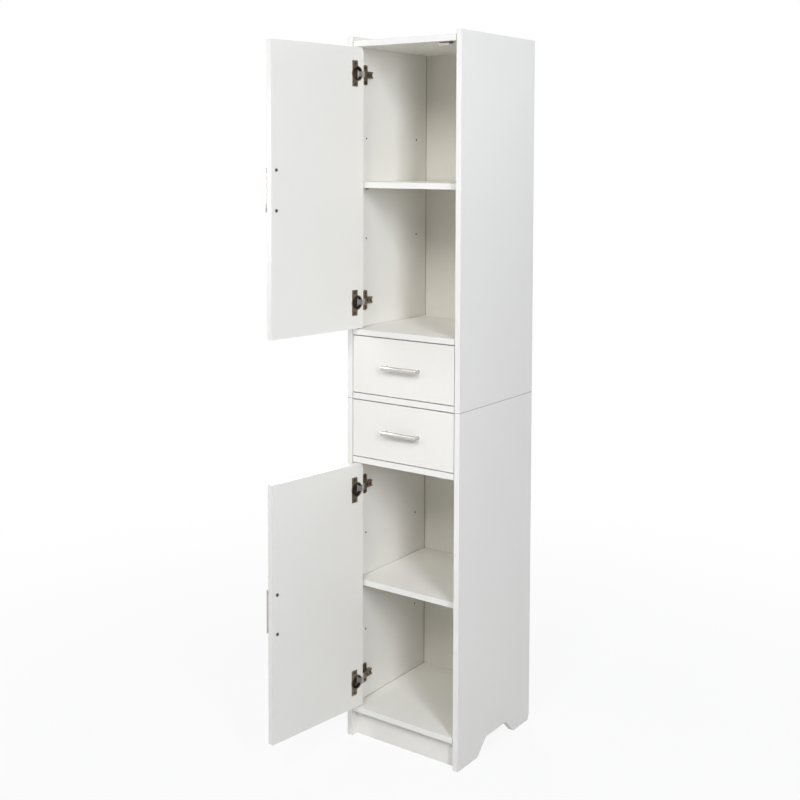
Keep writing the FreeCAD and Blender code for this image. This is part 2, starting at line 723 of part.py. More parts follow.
def cup_master():
    """Hinge cup: a flanged pot sunk in the door, with two lugs that hold the pin."""
    body = new_body("Cup")
    centre = [(d.cup_centre, 0)]
    face = -(door_back + d.cup_flange)
    rim = draw_circles(new_sketch(body, "XZ_Plane", face), d.cup_radius + CUP_RIM, centre)
    pad(body, rim, d.cup_flange)
    ear_end = d.cup_centre + d.cup_radius
    ears = rectangle(ear_end - d.ear_width, -d.ear_length / 2, ear_end, d.ear_length / 2)
    pad(body, draw_outline(new_sketch(body, "XZ_Plane", face), ears), d.cup_flange)
    pad(body, draw_circles(new_sketch(body, "XZ_Plane", -door_back), d.cup_radius, centre), d.cup_depth)
    hollow = draw_circles(new_sketch(body, "XZ_Plane", face), d.cup_radius - d.cup_wall, centre)
    cut(body, hollow, d.cup_depth + d.cup_flange - CUP_FLOOR, True)
    lug = rectangle(-LUG_BEFORE_PIN, door_back - d.cup_depth + CUP_FLOOR / 2, LUG_BEYOND_PIN, LUG_BACK)
    for low in (-d.lug_gap / 2 - d.lug_height, d.lug_gap / 2):
        pad(body, draw_outline(new_sketch(body, "XY_Plane", low), lug), d.lug_height)
    half_pin = d.hinge_pin_length / 2
    bore = draw_circles(new_sketch(body, "XY_Plane", -half_pin), d.hinge_pin_radius, [(0, 0)])
    cut(body, bore, d.hinge_pin_length, True)
    screws = [(d.cup_centre + d.ear_screw_offset, rise)
              for rise in (-d.ear_screw_rise, d.ear_screw_rise)]
    holes = draw_circles(new_sketch(body, "XZ_Plane", face), d.pilot_radius, screws)
    cut(body, holes, d.cup_flange, True)
    return body


arm = arm_master()
plate = plate_master()
cup = cup_master()
small_screw = screw_master(d.small_head, d.small_head_height, d.pilot_radius, d.small_shank)
set_screw = screw_master(d.small_head, d.small_head_height, d.screw_radius, d.set_screw_length)
plate_screws = []
adjusting_screws = []
for unit_name, unit in UNITS.items():
    levels = unit.hinge_levels
    for label, master in (("hinge_plates", plate), ("hinge_arms", arm)):
        copies = [copy_of(master, (0, 0, level)) for level in levels]
        place(group(f"{unit_name}_{label}", copies), pivot_x, d.pivot_behind_front, as_size(0))
    for level in levels:
        plate_screws += [
            copy_of(small_screw, (side_face + d.wing_sheet, PLATE_SCREW_BACK, level + rise), TO_LEFT)
            for rise in (-PLATE_SCREW_RISE, PLATE_SCREW_RISE)
        ]
        adjusting_screws += [copy_of(set_screw, (strip_top, as_size(back), level), TO_LEFT)
                             for back in ADJUSTING_SCREWS]
for label, members in (("hinge_plate_screws", plate_screws),
                       ("hinge_adjusting_screws", adjusting_screws)):
    place(group(label, members), pivot_x, d.pivot_behind_front, as_size(0))

# ---------------------------------------------------------------------------
# Handles: a rounded bar on two posts
# ---------------------------------------------------------------------------

FOOT_RIM = 1


def handle(label, across, face, up, upright):
    """A handle whose middle is at (across, up) on a board's front face."""
    body = named(new_body("Handle"), label)
    bar_front = face - d.handle_reach
    bar_back = bar_front + d.bar_depth
    half = d.bar_height / 2
    end = d.handle_length / 2
    hole = d.handle_spacing / 2
    if upright:
        sketch = new_sketch(body, "XY_Plane", up - end)
        draw_outline(sketch, rectangle(across - half, bar_front, across + half, bar_back))
        posts = [(across, up - hole), (across, up + hole)]
    else:
        sketch = new_sketch(body, "YZ_Plane", across - end)
        draw_outline(sketch, rectangle(bar_front, up - half, bar_back, up + half))
        posts = [(across - hole, up), (across + hole, up)]
    pad(body, sketch, d.handle_length)
    middle_y = as_size(bar_front + d.bar_depth / 2).number
    long_edge = d.handle_length.number / 2
    round_edges(body, d.bar_round,
                lambda edge: edge.BoundBox.YMax < middle_y and edge.Length > long_edge)
    pad(body, draw_circles(new_sketch(body, "XZ_Plane", -face), d.post_radius, posts),
        d.handle_reach - d.bar_depth / 2)
    pad(body, draw_circles(new_sketch(body, "XZ_Plane", -face), d.post_radius + FOOT_RIM, posts),
        d.foot_height)
    cut(body, draw_circles(new_sketch(body, "XZ_Plane", -face), d.screw_radius, posts),
        d.thread_depth, True)
    return body


HANDLE_HEAD = 4
HANDLE_HEAD_HEIGHT = 2.4
handle_screw = screw_master(HANDLE_HEAD, HANDLE_HEAD_HEIGHT, d.screw_radius,
                            d.board + d.thread_depth - 1)

# ---------------------------------------------------------------------------
# Doors, drawn in door coordinates
# ---------------------------------------------------------------------------

handle_x = door_free_edge - d.handle_from_edge
for unit_name, unit in UNITS.items():
    levels = unit.hinge_levels
    middle = (unit.door_bottom + unit.door_top) / 2
    posts = [(handle_x, middle - d.handle_spacing / 2), (handle_x, middle + d.handle_spacing / 2)]
    ear_screws = [(d.cup_centre + d.ear_screw_offset, level + rise)
                  for level in levels for rise in (-d.ear_screw_rise, d.ear_screw_rise)]

    panel = named(new_body("Door"), f"{unit_name}_door_panel")
    outline = rectangle(door_edge, unit.door_bottom, door_free_edge, unit.door_top)
    pad(panel, draw_outline(new_sketch(panel, "XZ_Plane", -door_back), outline), d.board)
    cups_at = [(d.cup_centre, level) for level in levels]
    cut(panel, draw_circles(new_sketch(panel, "XZ_Plane", -door_back), d.cup_radius, cups_at),
        d.cup_depth, True)
    cut(panel, draw_circles(new_sketch(panel, "XZ_Plane", -door_back), d.screw_radius, posts),
        d.board, True)
    cut(panel, draw_circles(new_sketch(panel, "XZ_Plane", -door_back), d.pilot_radius, ear_screws),
        d.small_shank - d.cup_flange, True)
    hang(panel)

    hang(group(f"{unit_name}_hinge_cups", [copy_of(cup, (0, 0, level)) for level in levels]))
    hang(group(f"{unit_name}_hinge_pins", [
        rod(d.hinge_pin_radius, d.hinge_pin_length, (0, 0, level - d.hinge_pin_length / 2),
            Vector(0, 0, 1)) for level in levels]))
    hang(group(f"{unit_name}_hinge_cup_screws", [
        copy_of(small_screw, (x, door_back + d.cup_flange, z), TO_FRONT) for x, z in ear_screws]))
    hang(handle(f"{unit_name}_door_handle", handle_x, door_front, middle, True))
    hang(group(f"{unit_name}_door_handle_screws", [
        copy_of(handle_screw, (x, door_back, z), TO_FRONT) for x, z in posts]))

# ---------------------------------------------------------------------------
# Drawers and their runners
# ---------------------------------------------------------------------------

front_x = d.board + d.reveal
box_inner = door_width - 2 * d.box_board
groove_z = d.box_height / 2 - d.runner_height / 2 - d.runner_play
groove_height = d.runner_height + 2 * d.runner_play
groove_start = d.runner_front - d.board - d.runner_play
side_groove_depth = d.runner_width - d.reveal + d.runner_play
box_dowel_levels = (d.box_dowel_low, d.box_dowel_high)
bottom_up = d.bottom_lift - d.box_lift
back_lift = bottom_up + d.back_board


def drawer_front(unit_name, level):
    """The front board: handle holes, dowel bores and the groove for the bottom."""
    body = named(new_body("Front"), f"{unit_name}_drawer_front")
    back = -d.board
    outline = rectangle(0, 0, door_width, front_height)
    pad(body, draw_outline(new_sketch(body, "XZ_Plane", back), outline), d.board)
    half = d.handle_spacing / 2
    posts = [(door_width / 2 - half, front_height / 2), (door_width / 2 + half, front_height / 2)]
    cut(body, draw_circles(new_sketch(body, "XZ_Plane", back), d.screw_radius, posts), d.board, True)
    groove = rectangle(d.box_board - d.bottom_groove, d.bottom_lift,
                       door_width - d.box_board + d.bottom_groove, d.bottom_lift + d.back_board)
    cut(body, draw_outline(new_sketch(body, "XZ_Plane", back), groove), d.bottom_groove, True)
    bores = [(x, d.box_lift + up) for x in (d.box_board / 2, door_width - d.box_board / 2)
             for up in box_dowel_levels]
    cut(body, draw_circles(new_sketch(body, "XZ_Plane", back), d.box_dowel_radius, bores),
        d.box_dowel_in_front, True)
    return place(body, front_x, as_size(0), level)


def drawer_side(unit_name, hand, level):
    """A drawer side: runner groove outside, bottom groove inside, dowel bores in its end."""
    body = named(new_body("DrawerSide"), f"{unit_name}_drawer_{hand}_side")
    left = hand == "left"
    pad(body, draw_outline(new_sketch(body, "XY_Plane"),
                           rectangle(0, 0, d.box_board, d.box_length)), d.box_height)
    outer = as_size(0) if left else d.box_board
    inner = d.box_board if left else as_size(0)
    channel = rectangle(groove_start, groove_z, d.box_length, groove_z + groove_height)
    cut(body, draw_outline(new_sketch(body, "YZ_Plane", outer), channel), side_groove_depth, left)
    slot = rectangle(0, bottom_up, d.box_length, back_lift)
    cut(body, draw_outline(new_sketch(body, "YZ_Plane", inner), slot), d.bottom_groove, not left)
    bores = [(d.box_board / 2, as_size(up)) for up in box_dowel_levels]
    cut(body, draw_circles(new_sketch(body, "XZ_Plane"), d.box_dowel_radius, bores), d.box_dowel_in_side)
    x = front_x if left else front_x + door_width - d.box_board
    return place(body, x, d.board, level + d.box_lift)


def runner_master():
    """A moulded runner, rounded at both ends, with two countersunk holes."""
    body = new_body("Runner")
    outline = rectangle(0, -d.runner_height / 2, d.runner_length, d.runner_height / 2)
    pad(body, draw_outline(new_sketch(body, "YZ_Plane"), outline), d.runner_width)
    across = d.runner_width.number
    round_edges(body, d.runner_round, lambda edge: abs(edge.BoundBox.XLength - across) < 0.1
                and edge.BoundBox.YLength < 0.1 and edge.BoundBox.ZLength < 0.1)
    centres = [(as_size(back) - d.runner_front, 0) for back in RUNNER_SCREWS]
    recess = draw_circles(new_sketch(body, "YZ_Plane", d.runner_width),
                          d.small_head + d.runner_play, centres)
    cut(body, recess, d.runner_recess)
    hole = draw_circles(new_sketch(body, "YZ_Plane", d.runner_width), d.pilot_radius, centres)
    cut(body, hole, d.runner_width)
    return body


runner = runner_master()
runner_screw = screw_master(d.small_head, d.small_head_height, d.pilot_radius,
                            d.runner_width - d.runner_recess + d.runner_grip)
runner_screws = []
for unit_name, unit in UNITS.items():
    level = unit.drawer_level
    drawer_front(unit_name, level)
    for hand in ("left", "right"):
        drawer_side(unit_name, hand, level)
    plain_board(f"{unit_name}_drawer_back", box_inner, d.box_board, d.box_height - back_lift,
                (front_x + d.box_board, d.board + d.box_length - d.box_board - d.box_overhang,
                 level + d.box_lift + back_lift))
    plain_board(f"{unit_name}_drawer_bottom", box_inner + 2 * d.bottom_groove,
                d.box_length - d.box_overhang + d.bottom_groove, d.back_board,
                (front_x + d.box_board - d.bottom_groove, d.board - d.bottom_groove,
                 level + d.bottom_lift))
    dowel_starts = [(front_x + x, d.board - d.box_dowel_in_front, level + d.box_lift + up)
                    for x in (d.box_board / 2, door_width - d.box_board / 2)
                    for up in box_dowel_levels]
    place(group(f"{unit_name}_drawer_dowels", [
        rod(d.box_dowel_radius, d.box_dowel_in_front + d.box_dowel_in_side, start, Vector(0, 1, 0))
        for start in dowel_starts]), as_size(0), as_size(0), as_size(0))

    middle_x = d.cabinet_width / 2
    middle_z = level + front_height / 2
    grip = handle(f"{unit_name}_drawer_handle", as_size(0), as_size(0), as_size(0), False)
    place(grip, middle_x, as_size(0), middle_z)
    half = d.handle_spacing / 2
    screws = [copy_of(handle_screw, (side * half, d.board, 0), TO_FRONT) for side in (-1, 1)]
    place(group(f"{unit_name}_drawer_handle_screws", screws), middle_x, as_size(0), middle_z)

    rear_end = d.runner_front + d.runner_length
    runners = [copy_of(runner, (d.board, d.runner_front, unit.runner_level), FACE_RIGHT),
               copy_of(runner, (right_side_x, rear_end, unit.runner_level), FACE_LEFT)]
    place(group(f"{unit_name}_drawer_runners", runners), as_size(0), as_size(0), as_size(0))
    for face, turn, inward in ((d.board, TO_LEFT, 1), (right_side_x, TO_RIGHT, -1)):
        depth = face + inward * (d.runner_width - d.runner_recess)
        runner_screws += [copy_of(runner_screw, (depth, as_size(back), unit.runner_level), turn)
                          for back in RUNNER_SCREWS]
place(group("runner_screws", runner_screws), as_size(0), as_size(0), as_size(0))

# ---------------------------------------------------------------------------
# Door catches under the top panel and under the divider
# ---------------------------------------------------------------------------

def catch(label, ceiling):
    """A base screwed up under a panel, with a block and a nose that the door meets."""
    body = named(new_body("Catch"), label)
    base = rectangle(0, 0, d.catch_length, d.catch_width)
    pad(body, draw_outline(new_sketch(body, "XY_Plane", -d.catch_base), base), d.catch_base)
    block = rectangle(0, 0, d.catch_block, d.catch_width)
    pad(body, draw_outline(new_sketch(body, "XY_Plane", -d.catch_drop), block), d.catch_drop)
    nose_at = [(d.catch_block / 2, -(d.catch_base + d.catch_drop) / 2)]
    pad(body, draw_circles(new_sketch(body, "XZ_Plane"), d.catch_nose_radius, nose_at), d.catch_nose)
    hole = draw_circles(new_sketch(body, "XY_Plane", -d.catch_base), d.pilot_radius, [CATCH_SCREW])
    cut(body, hole, d.catch_base, True)
    return place(body, d.catch_from_left, d.catch_front, ceiling)


catch_screws = []
for unit_name, unit in UNITS.items():
    catch(f"{unit_name}_door_catch", unit.ceiling)
    across = d.catch_from_left + CATCH_SCREW[0]
    back = d.catch_front + CATCH_SCREW[1]
    under = unit.ceiling - d.catch_base
    catch_screws.append(copy_of(small_screw, (across, back, under), TO_TOP))
place(group("catch_screws", catch_screws), as_size(0), as_size(0), as_size(0))

# ---------------------------------------------------------------------------
# Check every object, then write one file for each sub-part
# ---------------------------------------------------------------------------

def check_document():
    doc.recompute()
    for item in doc.Objects:
        if "Invalid" in item.State or "Error" in item.State:
            raise RuntimeError(f"{item.Label} ({item.Name}) failed: {item.State}")
    for part in parts:
        if part.Shape.isNull() or not part.Shape.isValid() or not part.Shape.Solids:
            raise RuntimeError(f"{part.Label} has no valid solid")


def write_parts():
    os.makedirs("parts", exist_ok=True)
    for part in parts:
        part.Shape.exportStep(os.path.join("parts", f"{part.Label}.step"))
        box = part.Shape.BoundBox
        print(f"{part.Label:32s} solids {len(part.Shape.Solids):3d}  "
              f"x {box.XMin:8.2f} {box.XMax:8.2f}  y {box.YMin:8.2f} {box.YMax:8.2f}  "
              f"z {box.ZMin:8.2f} {box.ZMax:8.2f}")
    print(f"{len(parts)} sub-parts")


check_document()
write_parts()
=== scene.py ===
import json
import math

import bmesh
import bpy
from bpy.props import FloatProperty, FloatVectorProperty, PointerProperty
from mathutils import Matrix, Vector


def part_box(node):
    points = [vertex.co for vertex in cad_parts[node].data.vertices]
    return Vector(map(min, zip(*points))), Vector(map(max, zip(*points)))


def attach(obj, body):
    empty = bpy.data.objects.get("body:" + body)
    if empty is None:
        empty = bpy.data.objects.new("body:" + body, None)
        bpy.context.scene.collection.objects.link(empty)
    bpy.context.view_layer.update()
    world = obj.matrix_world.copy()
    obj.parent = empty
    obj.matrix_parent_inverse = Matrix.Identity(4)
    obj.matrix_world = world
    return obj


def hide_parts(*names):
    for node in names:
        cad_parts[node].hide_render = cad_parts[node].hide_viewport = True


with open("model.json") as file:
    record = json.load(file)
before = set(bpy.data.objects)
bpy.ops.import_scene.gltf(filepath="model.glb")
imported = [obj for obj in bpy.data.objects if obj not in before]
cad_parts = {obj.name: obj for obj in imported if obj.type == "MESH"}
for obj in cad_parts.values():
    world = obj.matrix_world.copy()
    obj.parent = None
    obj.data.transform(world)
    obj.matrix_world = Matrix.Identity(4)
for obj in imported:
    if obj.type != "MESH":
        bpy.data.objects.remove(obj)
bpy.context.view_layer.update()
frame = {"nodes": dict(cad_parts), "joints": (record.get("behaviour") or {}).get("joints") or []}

bl_info = {
    "name": "Tall bathroom cabinet",
    "version": (1, 0, 0),
    "blender": (4, 5, 0),
    "location": "3D View > Sidebar > Cabinet",
    "description": "Finishes, hinges, screws, handles and stage of a tall bathroom cabinet",
    "category": "Object",
}

# Metres. Row frame: +X to the right seen from the front, +Y to the back, +Z up.
MM = 0.001
UNITS = ("upper", "lower")

# Hinge coordinates: from the hinge axis, X towards the door's free edge when it is
# closed, Y to the back, Z from the middle of the hinge.
DOOR_REST = math.radians(-97.5)
AXIS = {joint["child"]: Vector(joint["pos_m"]) for joint in frame["joints"] if "pos_m" in joint}
DOOR_BACK = 9 * MM
DOOR_FRONT = -6 * MM
SIDE_FACE = -12 * MM
HINGE_FROM_END = 66 * MM

# ---------------------------------------------------------------------------
# Sizes and colours that a user would change
# ---------------------------------------------------------------------------


def colour_property(name, description, value):
    return FloatVectorProperty(
        name=name, description=description, subtype="COLOR", size=3, min=0, max=1, default=value
    )


def length_property(name, description, value):
    return FloatProperty(name=name, description=description, unit="LENGTH", min=0, default=value)


def power_property(name, description, value):
    return FloatProperty(name=name, description=description, unit="POWER", min=0, default=value)


class BoardFinish(bpy.types.PropertyGroup):
    face: colour_property("Face", "Melamine facing of the boards", (0.88, 0.862, 0.80))
    band: colour_property("Edge band", "Edge banding of the boards", (0.885, 0.873, 0.825))
    # The drawer fronts' edges are beige as painted warm shade of the gaps round the drawers.
    drawer_gap_shade: colour_property("Drawer edge", "Edges of the drawer fronts", (0.79, 0.725, 0.64))
    glue: colour_property("Glue line", "Line between facing and edge band", (0.60, 0.57, 0.52))
    # Bare chipboard in drilled holes, and painted shade in the cracks of joints.
    core: colour_property("Core", "Bare chipboard in holes and joints", (0.11, 0.085, 0.06))
    back: colour_property("Hardboard", "Hardboard backs and bottoms", (0.835, 0.81, 0.735))
    roughness: FloatProperty(
        name="Roughness", description="Roughness of the facing", subtype="FACTOR",
        min=0, max=1, default=0.42,
    )
    peel: length_property("Grain depth", "Depth of the grain in the facing", 0.03 * MM)


class MetalFinish(bpy.types.PropertyGroup):
    nickel: colour_property("Hinge nickel", "Dark nickel of the hinges", (0.29, 0.245, 0.20))
    # The necks' steel is paler than the nickel: partly the steel's own tone, partly painted sheen
    # for the light it catches.
    arm: colour_property("Arm steel", "Bright steel of the hinges' necks", (0.50, 0.465, 0.45))
    # The cups' dark inside is painted shade of their hollow.
    inside_shade: colour_property("Cup lining", "Dark inside of the hinge cups", (0.085, 0.062, 0.048))
    screw: colour_property("Screws", "Dark plated screws", (0.13, 0.095, 0.075))
    bar: colour_property("Handle", "Satin steel of the handles", (0.60, 0.58, 0.55))
    pin: colour_property("Shelf pins", "Nickel of the shelf pins", (0.46, 0.44, 0.42))


class FittingFinish(bpy.types.PropertyGroup):
    housing: colour_property("Catch housing", "Pale plastic of the catches", (0.90, 0.82, 0.78))
    # The base's near-black is partly its own dark plastic, partly painted shade of the strip above
    # the housing.
    base: colour_property("Catch base", "Dark plate above the housing", (0.07, 0.055, 0.045))
    runner: colour_property("Runners", "Plastic of the drawer runners", (0.74, 0.72, 0.68))
    zinc: colour_property("Cams", "Cast zinc of the cam fittings", (0.50, 0.50, 0.51))
    beech: colour_property("Beech", "Pale wood of the dowels", (0.66, 0.47, 0.28))
    ray: colour_property("Beech rays", "Dark rays in the wood of the dowels", (0.42, 0.27, 0.15))


class FittingSizes(bpy.types.PropertyGroup):
    sheet_edge: length_property("Sheet edge", "Rounding of the edges of pressed sheet", 0.25 * MM)
    bar_edge: length_property("Bar edge", "Rounding of the ends of a handle's bar", 0.9 * MM)
    recess: length_property("Cross recess", "Depth of the cross in a screw's head", 1.1 * MM)


class StageSettings(bpy.types.PropertyGroup):
    key: power_property("Key lamp", "Tall lamp on the right", 63)
    front: power_property("Front lamp", "High lamp in front", 125)
    left: power_property("Left lamp", "Low lamp on the left", 5.3)
    reflector: power_property("Reflector", "Pale reflector on the left", 8)
    rear_left: power_property("Rear left lamp", "Lamp behind the left side", 45)
    rear_right: power_property("Rear right lamp", "Lamp behind the right side", 12)
    ambient: FloatProperty(
        name="Ambient", description="Strength of the light from all round", min=0, default=0.09
    )
    sky: colour_property("Sky", "Colour of the light from all round", (0.93, 0.965, 1.0))
    floor: colour_property("Floor", "Pale floor", (0.70, 0.70, 0.70))


# ---------------------------------------------------------------------------
# Shader trees
# ---------------------------------------------------------------------------


class Signal:
    """A socket of a finish. Arithmetic on it adds Math nodes to the finish."""

    def __init__(self, finish, socket):
        self.finish = finish
        self.socket = socket

    def __add__(self, other):
        return self.finish.maths("ADD", self, other)

    def __sub__(self, other):
        return self.finish.maths("SUBTRACT", self, other)

    def __mul__(self, other):
        return self.finish.maths("MULTIPLY", self, other)

    def __truediv__(self, other):
        return self.finish.maths("DIVIDE", self, other)

    def __lt__(self, other):
        return self.finish.maths("LESS_THAN", self, other)

    def __gt__(self, other):
        return self.finish.maths("GREATER_THAN", self, other)

    def __radd__(self, other):
        return self.finish.maths("ADD", other, self)

    def __rsub__(self, other):
        return self.finish.maths("SUBTRACT", other, self)

    def __rmul__(self, other):
        return self.finish.maths("MULTIPLY", other, self)

    def __rtruediv__(self, other):
        return self.finish.maths("DIVIDE", other, self)

    def __abs__(self):
        return self.finish.maths("ABSOLUTE", self)


class Finish:
    """A material, or the world, whose node tree is built one node at a time."""

    def __init__(self, name, blocks=None):
        self.block = (bpy.data.materials if blocks is None else blocks).new(name)
        self.block.use_nodes = True
        self.tree = self.block.node_tree
        self.tree.nodes.clear()

    def node(self, kind, settings=None, inputs=None, output=0):
        """Add a node and give one of its outputs, or nothing if output is None.

        settings are the node's own; inputs are values or signals by the socket's name or number.
        """
        made = self.tree.nodes.new(f"ShaderNode{kind}")
        made.location = (180 * len(self.tree.nodes), 0)
        for name, value in (settings or {}).items():
            setattr(made, name, value)
        for key, value in (inputs or {}).items():
            if isinstance(value, Signal):
                self.tree.links.new(value.socket, made.inputs[key])
            else:
                made.inputs[key].default_value = value
        return None if output is None else Signal(self, made.outputs[output])

    def maths(self, operation, *values):
        return self.node("Math", {"operation": operation}, dict(enumerate(values)))

    def mixed(self, factor, low, high):
        """A colour between two colours."""
        return self.node("Mix", {"data_type": "RGBA"}, {0: factor, 6: low, 7: high}, 2)

    def toned(self, factor, colour, low, high):
        """A colour between two shades of itself."""
        return self.mixed(factor, shade(colour, low), shade(colour, high))

    def place(self):
        """Where a point is on its piece, in the row frame at rest."""
        return self.node("TexCoord", output="Object")

    def parts(self, vector):
        """The three numbers of a vector."""
        split = self.node("SeparateXYZ", inputs={0: vector}).socket.node
        return [Signal(self, socket) for socket in split.outputs]

    def noise(self, vector, scale, detail=2.0, roughness=0.5):
        """Noise from 0 to 1; scale is in waves to the metre."""
        return self.node("TexNoise", inputs={
            "Vector": vector, "Scale": scale, "Detail": detail, "Roughness": roughness})

    def stretched(self, vector, scale):
        """A vector scaled by axis; a small number draws a pattern out along that axis."""
        return self.node("Mapping", inputs={"Vector": vector, "Scale": scale})

    def ramp(self, value, before, after):
        """value, taken from the range before to the range after with a smooth step."""
        return self.node("MapRange", {"interpolation_type": "SMOOTHSTEP"}, {
            0: value, 1: before[0], 2: before[1], 3: after[0], 4: after[1]})

    def bump(self, height, depth):
        """A normal bumped by a height from 0 to 1, whose full depth is in metres."""
        return self.node("Bump", inputs={"Strength": 1.0, "Distance": depth, "Height": height})

    def surface(self, **sockets):
        """End the tree in a Principled surface; a name's underscores stand for spaces."""
        named = {name.replace("_", " "): value for name, value in sockets.items()}
        shader = self.node("BsdfPrincipled", inputs=named, output="BSDF")
        return self.ended(shader)

    def ended(self, shader, output="OutputMaterial"):
        """Link the last shader to the tree's output and give what carries the tree."""
        self.node(output, inputs={"Surface": shader}, output=None)
        return self.block


def opaque(colour):
    return (*colour, 1.0)


def shade(colour, amount):
    """A colour made darker or lighter by a factor."""
    return (*(min(1.0, part * amount) for part in colour), 1.0)


# ---------------------------------------------------------------------------
# Finishes
# ---------------------------------------------------------------------------

BOARD = 15 * MM
BOX_BOARD = 12 * MM
BAND = 0.5 * MM
AXES = "xyz"
# A surface is a board's edge where less of its normal than this goes through the board.
EDGE_LIMIT = 0.5
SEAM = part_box("upper_left_side")[0].z
INNER_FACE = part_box("upper_right_side")[0].x
PLINTH_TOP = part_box("plinth_board")[1].z

# Painted shade of the cracks where boards meet: the range over which each one fades, and how dark
# it is.
SEAM_FADE, SEAM_SHADE = (0.3 * MM, 0.9 * MM), 0.75
END_FADE, END_SHADE = (INNER_FACE - 2 * MM, INNER_FACE - 0.5 * MM), 0.9
PLINTH_FADE, PLINTH_SHADE = (PLINTH_TOP - 2.5 * MM, PLINTH_TOP - 1 * MM), 0.8

# Limits that hold the holes of a side panel but not the panel's own edges.
DRILLED_Y = (-20 * MM, 317 * MM)
DRILLED_Z = (130 * MM, 1790 * MM)
SEAM_MARGIN = 1 * MM

# Melamine: its faint clouds, its glue lines and the scuffs at the floor.
CLOUD_SHARE = 0.8
GLUE_SHADE = 0.55
SCUFF_HEIGHT = 9 * MM
SCUFF_FLECKS, SCUFF_SHADE = (0.45, 0.7), 0.35


def across_board(finish, axis, door_body=None):
    """Place across a board's thickness from 0 to 1, and 1 where the surface is an edge.

    A door is open at rest, so its place and normal are first turned to the closed door.
    """
    if door_body is None:
        span = finish.node("TexCoord", output="Generated")
        normal = finish.node("TexCoord", output="Normal")
        thickness = finish.parts(span)[AXES.index(axis)]
    else:
        closing = (0, 0, -DOOR_REST)
        closed = Matrix.Rotation(-DOOR_REST, 4, "Z") @ Matrix.Translation(-AXIS[door_body])
        local = finish.node("Mapping", {"vector_type": "POINT"}, {
            "Vector": finish.place(), "Location": closed.to_translation(), "Rotation": closing})
        normal = finish.node("Mapping", {"vector_type": "NORMAL"}, {
            "Vector": finish.node("TexCoord", output="Normal"), "Rotation": closing})
        thickness = (finish.parts(local)[1] - DOOR_FRONT) / BOARD
    facing = abs(finish.parts(normal)[AXES.index(axis)])
    return thickness, facing < EDGE_LIMIT


def drilled(finish, edge):
    """1 on the walls of the holes in a side panel, which lie away from its own edges."""
    _, y, z = finish.parts(finish.place())
    (front, back), (low, high) = DRILLED_Y, DRILLED_Z
    inside = (y > front) * (y < back) * (z > low) * (z < high)
    return edge * inside * (abs(z - SEAM) > SEAM_MARGIN)


def unit_seam_shade(finish):
    """Painted shade of the crack where the upper unit stands on the lower one."""
    height = finish.parts(finish.place())[2]
    return finish.ramp(abs(height - SEAM), SEAM_FADE, (SEAM_SHADE, 0.0))


def end_joint_shade(finish):
    """Painted shade of the crack where a level board meets the side panels."""
    reach = abs(finish.parts(finish.place())[0])
    return finish.ramp(reach, END_FADE, (0.0, END_SHADE))


def plinth_joint_shade(finish):
    """Painted shade of the crack where the plinth meets the floor panel."""
    height = finish.parts(finish.place())[2]
    return finish.ramp(height, PLINTH_FADE, (0.0, PLINTH_SHADE))


def melamine(name, axis, board=BOARD, door_body=None, joint=None, holes=False, band=None):
    """White melamine on particle board: fine pressed grain, edge bands and their glue lines.

    joint draws the painted shade of the crack where the board meets another, and holes shows bare
    chipboard in drilled holes.
    """
    look = bpy.context.scene.cabinet_boards
    # A band given for the drawer fronts is painted warm shade of the gaps round them.
    band = band or look.band
    finish = Finish(name)
    thickness, edge = across_board(finish, axis, door_body)
    place = finish.place()
    grain = finish.noise(place, 1300.0, detail=3.0, roughness=0.6)
    cloud = finish.noise(place, 5.0)
    fleck = finish.noise(place, 420.0, detail=1.0)
    near_arris = finish.maths("MINIMUM", thickness, 1 - thickness) < BAND / board
    glue = near_arris * edge
    low_down = finish.ramp(finish.parts(place)[2], (0.0, SCUFF_HEIGHT), (1.0, 0.0))
    scuff = low_down * finish.ramp(fleck, SCUFF_FLECKS, (0.0, SCUFF_SHADE))
    cloudy = finish.toned(cloud * CLOUD_SHARE, look.face, 1.015, 0.975)
    banded = finish.mixed(edge, cloudy, opaque(band))
    lined = finish.mixed(glue * GLUE_SHADE, banded, opaque(look.glue))
    colour = finish.mixed(scuff, lined, opaque(look.glue))
    # Painted shade in the crack of a joint, in the same dark colour as the drilled holes.
    if joint:
        colour = finish.mixed(joint(finish), colour, opaque(look.core))
    if holes:
        colour = finish.mixed(drilled(finish, edge), colour, opaque(look.core))
    roughness = look.roughness + (grain - 0.5) * 0.12 - edge * 0.06 + (cloud - 0.5) * 0.08
    height = grain * (1 - edge * 0.6) - glue * 0.8
    return finish.surface(
        Base_Color=colour, Roughness=roughness, Normal=finish.bump(height, look.peel))


def hardboard(name):
    """Thin hardboard with a lacquered face: faint mottling and roller marks up the board."""
    look = bpy.context.scene.cabinet_boards
    finish = Finish(name)
    place = finish.place()
    roller = finish.noise(finish.stretched(place, (1.0, 1.0, 0.06)), 260.0)
    mottle = finish.noise(place, 38.0, detail=4.0, roughness=0.6)
    fibre = finish.noise(place, 900.0, detail=3.0, roughness=0.65)
    facing = finish.toned(mottle * 0.5 + roller * 0.5, look.back, 1.02, 0.955)
    # Painted shade of the cracks at the board's ends, in the same dark colour as the drilled
    # holes.
    colour = finish.mixed(end_joint_shade(finish), facing, opaque(look.core))
    roughness = 0.5 + (fibre - 0.5) * 0.2 + (roller - 0.5) * 0.1
    height = fibre * 0.6 + roller * 0.4
    return finish.surface(
        Base_Color=colour, Roughness=roughness, Normal=finish.bump(height, 0.05 * MM))


